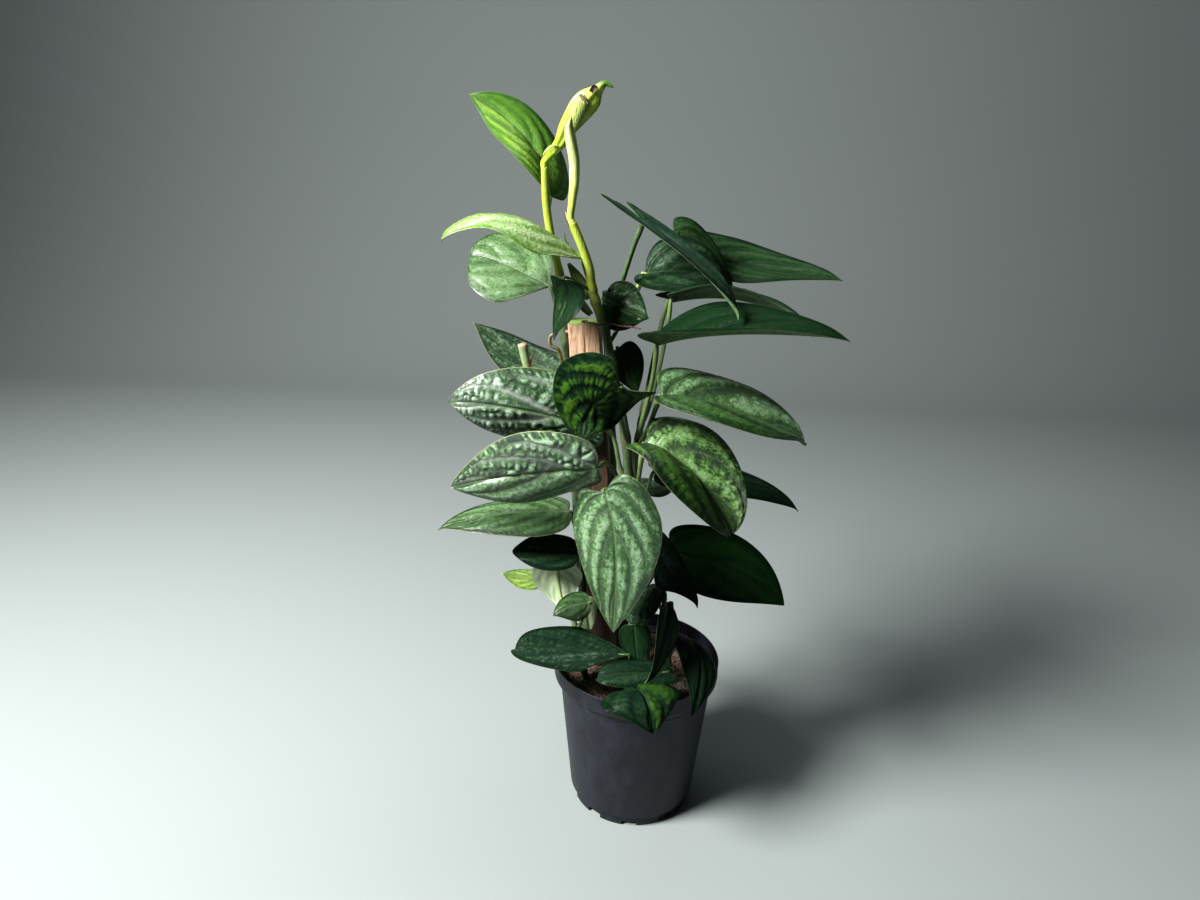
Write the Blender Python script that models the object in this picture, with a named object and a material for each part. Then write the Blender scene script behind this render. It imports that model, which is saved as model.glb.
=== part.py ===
"""Climbing monstera in a nursery pot, tied to a wooden post.

Metres, +Z up. The origin is the middle of the pot's flat base, which stands on the ground.
-Y is the front of the plant. Routes and leaf places are written in millimetres.
"""
import math

import bmesh
import bpy
from mathutils import Quaternion, Vector

MM = 0.001
GAP = 0.3 * MM                 # clearance between pieces that touch

# nursery pot
POT_HEIGHT = 166 * MM
POT_RIM_RADIUS = 85 * MM       # outside of the lip
POT_LIP_DEPTH = 19 * MM
POT_WALL = 1.4 * MM
POT_WALL_TOP_RADIUS = 79 * MM  # outside, just under the lip
POT_WALL_FOOT_RADIUS = 66 * MM
POT_FOOT_RADIUS = 63 * MM
POT_FOOT_HEIGHT = 11 * MM
POT_FLOOR = 2 * MM
POT_ROUND = 2 * MM             # height of the rounded steps in the wall
POT_SIDES = 48
DRAIN_COUNT = 10
DRAIN_WIDTH = 15 * MM
DRAIN_INNER_RADIUS = 50 * MM
DRAIN_HEIGHT = 6 * MM

# potting soil
SOIL_TOP = 146 * MM
SOIL_MOUND = 3 * MM
SOIL_SIDES = 32
SOCKET_HEADROOM = 30 * MM      # how far the sockets' cutters stand out of the soil

# wooden post
POST_SIDE = 29 * MM
POST_TOP = Vector((-61, 15, 510)) * MM
POST_FOOT = Vector((-22, 15, 24)) * MM

# stems and leaf stalks
STEM_SIDES = 8
STEM_STEPS = 3                 # rings for each span of a route
FINE_STEPS = 2                 # the same for growth with short spans, and the tie
STALK_RADIUS = 1.5 * MM        # at the leaf
STALK_FOOT_RADIUS = 2.1 * MM   # where it leaves the stem
STALK_STEPS = (0.0, 0.07, 0.25, 0.5, 0.75, 0.92, 1.0)
STALK_SEAT = 2 * MM            # how far behind the blade's heel it ends
STALK_LEAD = 3 * MM            # how straight a stalk leaves its stem, at most
STALK_LEAD_SHARE = 0.1         # the same for a short stalk, as a share of its reach
STALK_LEAD_OUT, STALK_LEAD_UP = 3, 2   # how the first of it leans out and up
STALK_ARRIVAL_SHARE = 0.35     # how straight it comes to the blade
STALK_ARCH = 0.5               # how much it rises over the blade's heel

# leaf blades
BLADE_THICKNESS = 1.0 * MM
BLADE_THICKNESS_SHARE = 0.03   # a small blade is thinner: this share of its width
BLADE_CROWN = 0.3              # how far each half curves down, as a share of its width
BLADE_TAPER = 0.9              # how evenly it narrows to the tip: less is blunter
BLADE_FULLNESS = 1.25          # spread of the outline before it is tapered
BLADE_SHOULDER = 0.75          # how soon it is wide past the heel: less is sooner
BLADE_TIP_PINCH = 0.3          # how much the last of the tip is drawn in
VEIN_SLANT = 1.5               # how far forward the side veins run
VEIN_CURVE = 1.4               # how they bend on the way to the edge
BLADE_RINGS = (0.22, 0.5, 0.85, 1.2, 1.6, 2.0, 2.4, 2.7, 2.92)
ACROSS = (0.5, 0.0, -0.5)      # points between the two edges of a ring


def post_at(height, across=0.0, back=0.0):
    """A point beside the post's axis at a height, in metres."""
    share = (height - POST_FOOT.z) / (POST_TOP.z - POST_FOOT.z)
    return POST_FOOT.lerp(POST_TOP, share) + Vector((across, back, 0.0))


def beside_post(height, across, back):
    """The same in millimetres, for the routes below."""
    return tuple(post_at(height * MM, across * MM, back * MM) / MM)


# name: radius at the soil, radius at the top, route from the soil up
STEMS = {
    "left_stem": (4.0, 3.2, (
        beside_post(130, -20, 0), beside_post(200, -20, 1), beside_post(300, -20, 1),
        beside_post(400, -20, 1), beside_post(485, -20, 3), (-84, 19, 545), (-92, 20, 580),
        (-97, 19, 612), (-98, 16, 644))),
    "front_stem": (4.2, 3.4, (
        (0, -18, 130), (-4, -20, 200), (-9, -20, 290), (-15, -16, 374), (-20, -12, 415),
        (-31, -6, 462), (-40, -3, 502), (-46, -7, 521), (-53, -12, 545), (-55, -16, 562),
        (-62, -19, 582), (-70, -20, 600))),
    "right_stem": (4.2, 2.6, (
        (12, 14, 130), (4, 12, 220), (-4, 8, 300), (-10, 4, 371), (-6, 4, 410), (-2, 6, 440))),
    "back_stem": (4.0, 3.0, (
        (-10, 42, 130), (-22, 38, 230), (-30, 38, 330), (-36, 38, 430), (-42, 36, 500),
        (-43, 32, 535))),
    "low_right_stem": (3.4, 2.6, (
        (32, -14, 130), (32, -18, 165), (33, -16, 200), (32, -10, 235))),
    "low_left_stem": (3.0, 2.4, (
        (-46, -22, 130), (-56, -18, 170), (-64, -12, 205), (-70, -3, 232))),
}

# What carries on from the top of a stem: stem, route above its top, radii from the top down
# to the tip, flatness of the section
NEW_LEAVES = {
    "unfurling_leaf": ("left_stem", ((-98, 15, 648), (-92, 12, 655), (-83, 7, 664), (-76, 4, 676),
                                     (-67, 1, 689), (-58, 0, 698), (-52, -1, 705),
                                     (-46, -2, 710), (-39, -2, 707)),
                       (3.2, 3.2, 3.8, 6.0, 8.5, 11.0, 10.0, 4.6, 2.8, 1.0), 0.6),
    "rolled_leaf": ("front_stem", ((-71.5, -20, 605), (-70, -21, 619), (-68.5, -21, 635),
                                   (-69.5, -21, 651), (-72.5, -21, 665), (-74, -20.5, 675),
                                   (-72, -19, 684)),
                    (3.2, 3.2, 4.0, 4.8, 4.5, 4.2, 3.4, 0.8), 1.0),
}

# Short side growth: stem, height on it, route, radius at its foot, radius at its end
SIDE_GROWTH = {
    "cut_stalk": (("left_stem", 448), ((-98, 10, 454), (-112, 9, 464), (-118, 9, 488)), 2.8, 4.5),
    "curled_stalk": (("left_stem", 470), ((-84, 6, 484), (-91, 4, 489), (-91, 3, 497), (-85, 2, 501)),
                     1.9, 1.6),
}

# leaves that opened lately and are still pale
YOUNG_LEAVES = ("top_leaf", "arching_young_leaf", "pale_left_leaf", "pale_drooping_leaf")

# twist tie
TIE_RADIUS = 0.8 * MM
TIE_SIDES = 6
TIE_ROUTE = ((-58, 12, 511.2), (-63, 7, 511.2), (-59, 2, 511.4), (-52, -5, 512.5),
             (-46, -13, 513), (-38, -10, 512.5), (-34, -4, 512), (-27, -9, 511.5),
             (-17, -14, 512), (-9, -16, 511))
# name: (stem, height on it), heel, middle and tip of the midrib, width, way it faces,
# how far the halves fold up (negative is down), how far the base lobes reach back, and the
# taper of a blade that is blunter than the rest
LEAVES = {
    "top_leaf": (("left_stem", 582), (-96, 40, 618), (-121, 62, 667), (-176, 74, 705),
        71, (0.82, -0.53, -0.24), 0.35, 0.02),
    "arching_young_leaf": (("front_stem", 534), (-62, -13, 571), (-128, -30, 606), (-176, -55, 587),
        68, (-0.26, -0.17, 0.95), -0.14, -0.06),
    "silver_leaf_high": (("left_stem", 520), (-95, 24, 540), (-148, 39, 560), (-174, 47, 561),
        88, (0.35, -0.67, 0.65), 0.24, -0.06),
    "hanging_leaf_at_post": (("front_stem", 545), (-76, -29, 554), (-72, -26, 533), (-84, -44, 506),
        40, (-0.59, -0.65, 0.47), 0.29, 0.12),
    "dark_leaf_at_post": (("back_stem", 496), (-43, 12, 531), (-22, 6, 524), (-3, -2, 518),
        46, (0, -0.98, 0.15), 0.1, 0.04),
    "leaf_behind_post": (("back_stem", 440), (-30, 26, 483), (-20, 22, 466), (-10, 16, 442),
        36, (-0.1, -0.9, 0.3), 0.1, 0.06),
    "high_right_leaf": (("back_stem", 515), (-9, 20, 598), (41, -21, 565), (76, -40, 527),
        58, (0.31, 0.04, 0.95), 0.41, 0.33),
    "cupped_right_leaf": (("back_stem", 505), (-8, 60, 549), (32, 48, 554), (71, 56, 546),
        72, (0.65, -0.55, 0.53), 0.62, 0.03),
    "tucked_right_leaf": (("back_stem", 485), (18, 79, 588), (43, 75, 575), (81, 69, 528),
        50, (0.3, -0.66, 0.68), 0.1, 0.04),
    "far_right_leaf": (("right_stem", 437), (39, 107, 566), (103, 109, 550), (185, 90, 546),
        75, (0.39, -0.45, 0.8), 0.47, 0.08),
    "thin_right_leaf": (("right_stem", 418), (19, 22, 531), (87, 29, 532), (146, -2, 509),
        59, (-0.06, 0.2, 0.98), 0.59, 0.11),
    "long_right_leaf": (("right_stem", 404), (7, -8, 497), (69, -39, 515), (163, -63, 519),
        69, (0.31, -0.31, 0.9), 0.8, 0.06),
    "behind_left_leaf": (("left_stem", 440), (-74, 34, 454), (-125, 36, 469), (-168, 34, 502),
        52, (-0.1, -0.6, 0.8), 0.1, 0.06),
    "silver_left_leaf": (("front_stem", 372), (-39, -19, 417), (-126, -39, 441), (-180, -35, 441),
        73, (-0.26, -0.96, 0.04), -0.15, 0.06),
    "heart_leaf": (("front_stem", 408), (-23, -74, 473), (-47, -63, 453), (-56, -74, 423),
        83, (-0.19, -0.67, -0.72), -0.07, 0.22),
    "upper_left_leaf": (("front_stem", 350), (-42, -63, 396), (-112, -60, 385), (-177, -51, 366),
        81, (-0.89, -0.34, -0.31), 0.08, 0.05),
    "lower_left_leaf": (("left_stem", 298), (-71, -10, 329), (-133, -20, 328), (-196, -30, 314),
        58, (-0.2, -0.35, 0.9), 0.1, 0.04),
    "front_leaf": (("front_stem", 340), (-35, -67, 375), (-23, -77, 326), (-23, -90, 246),
        93, (-0.22, -0.77, -0.6), 0.2, 0.18),
    "broad_right_leaf": (("right_stem", 392), (12, -39, 457), (67, -39, 448), (142, -35, 418),
        89, (0.29, -0.14, 0.95), 0.52, 0.1, 0.1),
    "silver_right_leaf": (("front_stem", 330), (0, -63, 420), (37, -78, 405), (78, -95, 353),
        84, (-0.39, 0.05, 0.92), 0.6, 0.13, 0.25),
    "behind_right_leaf": (("right_stem", 318), (11, 24, 361), (91, 40, 350), (159, 40, 320),
        52, (0.2, -0.3, 0.9), 0.15, 0.06),
    "shaded_right_leaf": (("right_stem", 238), (32, 16, 277), (97, 10, 262), (144, -10, 238),
        71, (-0.2, -0.85, 0.45), 0, 0.08),
    "small_bluish_leaf": (("front_stem", 272), (15, -48, 313), (32, -27, 275), (57, -50, 256),
        48, (0.68, -0.57, 0.46), 0.24, 0.08),
    "small_left_leaf": (("left_stem", 255), (-61, -9, 285), (-100, -15, 288), (-128, -11, 284),
        41, (-0.2, -0.6, 0.78), 0.17, 0.01),
    "pale_left_leaf": (("left_stem", 222), (-98, 20, 240), (-122, 18, 239), (-143, 16, 244),
        28, (-0.2, -0.4, 0.9), 0.1, 0.06),
    "pale_upturned_leaf": (("low_left_stem", 214), (-83, 6, 265), (-83, 4, 244), (-80, 0, 217),
        52, (0, 0.95, 0.2), 0.1, 0.06),
    "pale_drooping_leaf": (("left_stem", 222), (-53, -7, 234), (-51, -7, 215), (-48, -9, 195),
        20, (0.2, -0.9, 0.3), 0.4, 0.04),
    "curled_left_leaf": (("low_left_stem", 200), (-48, -28, 241), (-67, -36, 240), (-83, -42, 232),
        30, (-0.2, -0.75, 0.65), -0.3, 0.06),
    "rim_leaf_left": (("front_stem", 160), (-9, -47, 196), (-89, -56, 204), (-120, -52, 198),
        57, (0.05, -0.25, 0.97), 0.38, -0.11),
    "rim_leaf_middle": (("low_right_stem", 168), (31, -50, 181), (-18, -76, 194), (-37, -76, 187),
        34, (-0.13, -0.37, 0.92), 0.17, 0.12),
    "rim_leaf_front": (("low_right_stem", 152), (-2, -78, 180), (10, -106, 189), (19, -125, 165),
        79, (0.33, -0.79, 0.52), 0.11, 0.11),
    "small_silver_leaf": (("low_right_stem", 225), (17, -20, 260), (-1, -57, 248), (7, -57, 233),
        42, (-0.52, -0.84, -0.14), 0.09, 0.05),
    "small_dark_leaf": (("low_right_stem", 182), (-4, -32, 220), (-1, -36, 199), (2, -43, 182),
        32, (-0.04, -0.95, 0.32), 0.11, 0.04),
    "edge_on_leaf": (("low_right_stem", 215), (26, -41, 254), (24, -69, 232), (11, -86, 190),
        45, (0.85, -0.51, 0.12), 0.48, 0.07),
    "rim_leaf_right": (("low_right_stem", 185), (50, -7, 194), (62, -48, 192), (55, -89, 160),
        51, (0.44, -0.86, 0.25), 0.13, 0.07),
    "back_leaf_high": (("back_stem", 410), (-48, 64, 446), (-62, 98, 446), (-72, 132, 420),
        62, (-0.2, 0.5, 0.85), 0.15, 0.06),
    "back_leaf_middle": (("back_stem", 285), (-6, 62, 322), (6, 96, 322), (16, 130, 296),
        60, (0.2, 0.5, 0.85), 0.15, 0.06),
    "back_leaf_low": (("back_stem", 185), (-26, 64, 214), (-36, 94, 216), (-42, 124, 200),
        48, (-0.2, 0.5, 0.85), 0.15, 0.06),
}


def clear_scene():
    for old in list(bpy.data.objects):
        bpy.data.objects.remove(old, do_unlink=True)


def material(name, colour, roughness):
    """A plain Principled material."""
    finish = bpy.data.materials.new(name)
    finish.use_nodes = True
    shader = finish.node_tree.nodes["Principled BSDF"]
    shader.inputs["Base Color"].default_value = (*colour, 1.0)
    shader.inputs["Roughness"].default_value = roughness
    finish.diffuse_color = (*colour, 1.0)
    return finish


def solid(name, points, faces, finish, sharp_angle=40):
    """One closed body from points and faces, with its faces turned outwards."""
    shape = bmesh.new()
    corners = [shape.verts.new(point) for point in points]
    for face in faces:
        shape.faces.new([corners[index] for index in face])
    bmesh.ops.recalc_face_normals(shape, faces=shape.faces)
    mesh = bpy.data.meshes.new(name)
    shape.to_mesh(mesh)
    shape.free()
    mesh.shade_smooth()
    mesh.set_sharp_from_angle(angle=math.radians(sharp_angle))
    mesh.materials.append(finish)
    piece = bpy.data.objects.new(name, mesh)
    bpy.context.scene.collection.objects.link(piece)
    return piece


def tube_faces(ring_count, sides):
    """Faces between neighbouring rings, then a cap on the first and on the last ring.

    The diagonals run alike on both halves of the rings, so a thin blade's two faces never cross.
    """
    faces = []
    for ring in range(ring_count - 1):
        start = ring * sides
        following = start + sides
        for side in range(sides):
            turn = (side + 1) % sides
            near, near_next = start + side, start + turn
            far, far_next = following + side, following + turn
            if side < sides / 2:
                faces += [(near, near_next, far_next), (near, far_next, far)]
            else:
                faces += [(near, near_next, far), (near_next, far_next, far)]
    faces.append(tuple(range(sides)))
    faces.append(tuple(range((ring_count - 1) * sides, ring_count * sides)))
    return faces


def smooth_route(points, steps):
    """A Catmull-Rom curve through the points."""
    ends = [2 * points[0] - points[1], *points, 2 * points[-1] - points[-2]]
    route = []
    for before, here, there, after in zip(ends, ends[1:], ends[2:], ends[3:]):
        for step in range(steps):
            t = step / steps
            route.append(0.5 * (
                2 * here + (there - before) * t
                + (2 * before - 5 * here + 4 * there - after) * t ** 2
                + (3 * here - before - 3 * there + after) * t ** 3))
    route.append(points[-1])
    return route


def tangents(route):
    ways = []
    for index in range(len(route)):
        first = route[max(index - 1, 0)]
        last = route[min(index + 1, len(route) - 1)]
        ways.append((last - first).normalized())
    return ways


def carried_sides(ways, side):
    """The sideways direction carried along a route without twisting it."""
    sides = [(side - side.project(ways[0])).normalized()]
    for before, after in zip(ways, ways[1:]):
        sides.append(before.rotation_difference(after) @ sides[-1])
    return sides


def ring_points(middle, side, up, radius, count, flatness=1.0):
    turns = [2 * math.pi * index / count for index in range(count)]
    return [middle + radius * (math.cos(turn) * side + flatness * math.sin(turn) * up)
            for turn in turns]


def sweep(name, route, radii, finish, sides=STEM_SIDES, flatness=1.0, first_way=None):
    """A tube along a route, with a flat cut at each end."""
    ways = tangents(route)
    ways[0] = first_way or ways[0]
    points = []
    for middle, way, across, radius in zip(route, ways, carried_sides(ways, Vector((1, 0, 0))),
                                           radii):
        points += ring_points(middle, across, across.cross(way), radius, sides, flatness)
    return solid(name, points, tube_faces(len(route), sides), finish)


def even_radii(count, first, last):
    return [first + (last - first) * index / (count - 1) for index in range(count)]


def cut(piece, cutter):
    """Cuts one closed shape out of another."""
    change = piece.modifiers.new("cut_" + cutter.name, "BOOLEAN")
    change.operation = "DIFFERENCE"
    change.object = cutter
    cutter.hide_render = True
    cutter.display_type = "WIRE"


def lathe(name, profile, sides, finish):
    """A solid turned about Z. The profile runs from the axis at one end to the axis at the other."""
    inner = profile[1:-1]
    points = []
    for radius, height in inner:
        for index in range(sides):
            turn = 2 * math.pi * index / sides
            points.append(Vector((radius * math.cos(turn), radius * math.sin(turn), height)))
    faces = tube_faces(len(inner), sides)[:-2]
    for ring, (_, height) in ((0, profile[0]), (len(inner) - 1, profile[-1])):
        points.append(Vector((0, 0, height)))
        for side in range(sides):
            faces.append((ring * sides + side, ring * sides + (side + 1) % sides,
                          len(points) - 1))
    return solid(name, points, faces, finish)


def wall_radius(height, inside=False):
    """The pot wall's radius at a height, outside or inside."""
    lip_foot = POT_HEIGHT - POT_LIP_DEPTH
    share = (height - POT_FOOT_HEIGHT) / (lip_foot - POT_FOOT_HEIGHT)
    radius = POT_WALL_FOOT_RADIUS + share * (POT_WALL_TOP_RADIUS - POT_WALL_FOOT_RADIUS)
    return radius - POT_WALL if inside else radius


def nursery_pot(finish):
    """A moulded pot: a drained foot, a tapered wall and a turned-out lip."""
    lip_foot = POT_HEIGHT - POT_LIP_DEPTH
    lip_inside = POT_RIM_RADIUS - POT_WALL
    foot_inside = POT_FOOT_RADIUS - POT_WALL
    profile = (
        (0, 0), (POT_FOOT_RADIUS - POT_ROUND, 0), (POT_FOOT_RADIUS, POT_ROUND),
        (POT_FOOT_RADIUS, POT_FOOT_HEIGHT - POT_ROUND), (POT_WALL_FOOT_RADIUS, POT_FOOT_HEIGHT),
        (POT_WALL_TOP_RADIUS, lip_foot), (POT_RIM_RADIUS - POT_ROUND, lip_foot),
        (POT_RIM_RADIUS, lip_foot + POT_ROUND), (POT_RIM_RADIUS, POT_HEIGHT - POT_WALL / 2),
        (POT_RIM_RADIUS - POT_WALL / 2, POT_HEIGHT), (lip_inside, POT_HEIGHT),
        (lip_inside - POT_WALL / 2, lip_foot + POT_ROUND + POT_WALL),
        (wall_radius(lip_foot, True), lip_foot),
        (wall_radius(POT_FOOT_HEIGHT, True), POT_FOOT_HEIGHT + POT_ROUND),
        (foot_inside, POT_FOOT_HEIGHT - POT_ROUND), (foot_inside, POT_FLOOR), (0, POT_FLOOR))
    pot = lathe("nursery_pot", profile, POT_SIDES, finish)
    notch_length = POT_RIM_RADIUS - DRAIN_INNER_RADIUS
    notches = bmesh.new()
    for index in range(DRAIN_COUNT):
        turn = Quaternion((0, 0, 1), 2 * math.pi * (index + 0.5) / DRAIN_COUNT)
        made = bmesh.ops.create_cube(notches, size=1.0)
        for corner in made["verts"]:
            place = Vector((corner.co.x * notch_length, corner.co.y * DRAIN_WIDTH,
                            corner.co.z * 2 * DRAIN_HEIGHT))
            place.x += DRAIN_INNER_RADIUS + notch_length / 2
            corner.co = turn @ place
    mesh = bpy.data.meshes.new("drain_notches")
    notches.to_mesh(mesh)
    notches.free()
    cutter = bpy.data.objects.new("drain_notches", mesh)
    bpy.context.scene.collection.objects.link(cutter)
    cut(pot, cutter)
    return pot


def square_post(name, spread, finish, top=POST_TOP, foot=POST_FOOT):
    """A square bar from its foot to its top, cut level at both ends."""
    half = POST_SIDE / 2 + spread
    points = []
    for end in (foot, top):
        points += [end + Vector((x * half, y * half, 0)) for x, y in
                   ((-1, -1), (1, -1), (1, 1), (-1, 1))]
    return solid(name, points, tube_faces(2, 4), finish)


def potting_soil(finish, stem_routes):
    """The root ball with its loose top, and a socket for the post and for each stem."""
    floor = POT_FLOOR + GAP
    step = POT_FOOT_HEIGHT + POT_ROUND + 2 * GAP
    foot = POT_FOOT_RADIUS - POT_WALL - 3 * GAP
    edge = wall_radius(SOIL_TOP, True) - 2 * GAP
    profile = (
        (0, floor), (foot, floor), (foot, step), (wall_radius(step, True) - 2 * GAP, step + POT_ROUND),
        (edge, SOIL_TOP), (0.7 * edge, SOIL_TOP + SOIL_MOUND / 2),
        (0.35 * edge, SOIL_TOP + SOIL_MOUND), (0, SOIL_TOP + SOIL_MOUND))
    soil = lathe("potting_soil", profile, SOIL_SIDES, finish)
    clear = SOIL_TOP + SOCKET_HEADROOM
    below = POST_FOOT - Vector((0, 0, GAP))
    cut(soil, square_post("post_socket", GAP, finish, top=post_at(clear), foot=below))
    for name, (radius, _, _) in STEMS.items():
        buried = [point for point in stem_routes[name] if point.z < clear]
        socket = sweep(name + "_socket", [buried[0] - Vector((0, 0, GAP)), *buried[1:]],
                       [radius * MM + GAP] * len(buried), finish)
        cut(soil, socket)
    return soil


def stem_at(route, radii, height):
    """Where a stem is at a height: its middle, direction and radius."""
    ways = tangents(route)
    for index in range(len(route) - 1):
        low, high = route[index], route[index + 1]
        if low.z <= height <= high.z:
            share = (height - low.z) / (high.z - low.z)
            radius = radii[index] + share * (radii[index + 1] - radii[index])
            return low.lerp(high, share), ways[index].lerp(ways[index + 1], share), radius
    raise ValueError("no stem at this height")


def blade_outline(turn, lobe, taper):
    """The edge of a blade 1 long and 2 wide, and where its side vein leaves the midrib.

    The turn runs from 0 in the notch at the stalk to pi at the tip.
    """
    along = (1 - math.cos(turn)) / 2
    across = BLADE_FULLNESS * math.sin(turn) ** BLADE_SHOULDER * math.cos(turn / 2) ** taper
    across *= 1 - BLADE_TIP_PINCH * along ** 6
    vein = along ** VEIN_SLANT
    if turn < math.pi / 3:
        along -= lobe * math.sin(3 * turn)
    return along, across, vein


class Blade:
    """A leaf blade's curved surface, set by its midrib and the way it faces."""

    def __init__(self, heel, middle, tip, width, face, fold, lobe, taper=BLADE_TAPER):
        self.heel, self.tip = heel, tip
        self.pull = 2 * middle - (heel + tip) / 2
        self.half = width / 2
        self.lift = min(BLADE_THICKNESS, BLADE_THICKNESS_SHARE * width) / 2
        self.face = face.normalized()
        self.fold = fold
        self.lobe = lobe
        self.taper = taper

    def midrib(self, t):
        if t < 0:
            return self.heel + 2 * t * (self.pull - self.heel)
        return (1 - t) ** 2 * self.heel + 2 * t * (1 - t) * self.pull + t * t * self.tip

    def axes(self, t):
        t = min(max(t, 0.0), 1.0)
        along = (1 - t) * (self.pull - self.heel) + t * (self.tip - self.pull)
        along.normalize()
        side = along.cross(self.face).normalized()
        return along, side, side.cross(along)

    def point(self, along, across, lift=0.0):
        """A point at a share of the length, and a share of the half width."""
        _, side, up = self.axes(along)
        rise = self.fold * abs(across) - BLADE_CROWN * across ** 2
        return self.midrib(along) + self.half * (across * side + rise * up) + lift * up

    def ring(self, turn):
        """Edge, three points above, edge, three points below."""
        along, across, vein = blade_outline(turn, self.lobe, self.taper)
        edges = [self.point(along, sign * across) for sign in (1, -1)]
        above, below = [], []
        for share in ACROSS:
            reach = abs(share)
            place = vein + (along - vein) * reach ** VEIN_CURVE
            above.append(self.point(place, share * across, self.lift))
            below.append(self.point(place, share * across, -self.lift))
        return [edges[0], *above, edges[1], *reversed(below)]


def bezier(points, t):
    first, second, third, fourth = points
    return ((1 - t) ** 3 * first + 3 * t * (1 - t) ** 2 * second
            + 3 * t * t * (1 - t) * third + t ** 3 * fourth)


def leaf(name, place, blade, finish):
    """One leaf as it grew: the stalk from its stem, and the blade."""
    middle, way, stem_radius = place
    along, side, up = blade.axes(0.0)
    heel = blade.heel - STALK_SEAT * along
    away = heel - middle
    away = (away - away.project(way)).normalized()
    foot = middle + away * (stem_radius + GAP)
    reach = (heel - foot).length
    arrive = (heel - foot).normalized() + STALK_ARCH * up
    arrive = (arrive - arrive.project(side)).normalized()
    lead = min(STALK_LEAD_SHARE * reach, STALK_LEAD)
    bend = foot + lead * (STALK_LEAD_OUT * away + STALK_LEAD_UP * way.normalized())
    route_ends = (foot, bend, heel - STALK_ARRIVAL_SHARE * reach * arrive, heel)
    route = [bezier(route_ends, t) for t in STALK_STEPS]
    ways = tangents(route)
    ways[0] = away
    ways[-1] = (arrive + along).normalized()
    sides = carried_sides(list(reversed(ways)), side)
    sides.reverse()
    points = []
    for t, centre, direction, across in zip(STALK_STEPS, route, ways, sides):
        radius = STALK_RADIUS + (STALK_FOOT_RADIUS - STALK_RADIUS) * (1 - t) ** 2
        points += ring_points(centre, across, across.cross(direction), radius, STEM_SIDES)
    for turn in BLADE_RINGS:
        points += blade.ring(turn)
    rings = len(STALK_STEPS) + len(BLADE_RINGS)
    faces = tube_faces(rings, STEM_SIDES)
    last = faces.pop()
    points.append(blade.midrib(1.0))
    for corner, following in zip(last, last[1:] + last[:1]):
        faces.append((corner, following, len(points) - 1))
    return solid(name, points, faces, finish, sharp_angle=80)


def new_leaf(name, stem_end, way, points, radii, flatness, finish):
    """A leaf still rolled up, carried on from the top of its stem."""
    first = stem_end + way * GAP
    route = smooth_route([first, *(Vector(point) * MM for point in points)], FINE_STEPS)
    spread = []
    for here, there in zip(radii, radii[1:]):
        spread += [here, (here + there) / 2]
    spread = [radius * MM for radius in (*spread, radii[-1])]
    return sweep(name, route, spread, finish, flatness=flatness, first_way=way)


def side_growth(name, place, points, first, last, finish):
    """A short stalk that leaves the side of a stem."""
    middle, way, stem_radius = place
    away = Vector(points[0]) * MM - middle
    away = (away - away.project(way)).normalized()
    foot = middle + away * (stem_radius + GAP)
    route = smooth_route([foot, foot + away * 2 * first * MM,
                          *(Vector(point) * MM for point in points)], FINE_STEPS)
    radii = even_radii(len(route), first * MM, last * MM)
    return sweep(name, route, radii, finish, first_way=away)


def build():
    clear_scene()
    plastic = material("pot_plastic", (0.035, 0.04, 0.05), 0.55)
    earth = material("potting_mix", (0.05, 0.03, 0.02), 0.95)
    timber = material("post_wood", (0.62, 0.4, 0.27), 0.75)
    skin = material("stem_skin", (0.1, 0.17, 0.05), 0.55)
    green = material("leaf_green", (0.03, 0.12, 0.03), 0.4)
    young = material("young_green", (0.35, 0.5, 0.08), 0.45)
    wire = material("tie_wire", (0.12, 0.06, 0.07), 0.6)
    nursery_pot(plastic)
    square_post("wooden_post", 0.0, timber)
    routes, stems = {}, {}
    for name, (first, last, points) in STEMS.items():
        route = smooth_route([Vector(point) * MM for point in points], STEM_STEPS)
        radii = even_radii(len(route), first * MM, last * MM)
        routes[name] = route
        stems[name] = (route, radii)
        sweep(name, route, radii, skin)
    potting_soil(earth, routes)
    for name, ((stem, height), heel, middle, tip, width, face, *shape) in LEAVES.items():
        heel, middle, tip = (Vector(point) * MM for point in (heel, middle, tip))
        blade = Blade(heel, middle, tip, width * MM, Vector(face), *shape)
        leaf(name, stem_at(*stems[stem], height * MM), blade,
             young if name in YOUNG_LEAVES else green)
    for name, (stem, points, radii, flatness) in NEW_LEAVES.items():
        route = routes[stem]
        new_leaf(name, route[-1], tangents(route)[-1], points, radii, flatness, young)
    for name, ((stem, height), points, first, last) in SIDE_GROWTH.items():
        side_growth(name, stem_at(*stems[stem], height * MM), points, first, last, skin)
    tie = smooth_route([Vector(point) * MM for point in TIE_ROUTE], FINE_STEPS)
    sweep("twist_tie", tie, [TIE_RADIUS] * len(tie), wire, sides=TIE_SIDES)


build()
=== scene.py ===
"""A climbing monstera in a nursery pot: the finish and fine shape of every piece.

Metres, +Z up, -Y is the front of the plant. Each piece is worked out in millimetres, and
turned into metres where it is made.
"""
import math

import bmesh
import bpy
import numpy as np
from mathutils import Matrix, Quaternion, Vector, noise


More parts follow.
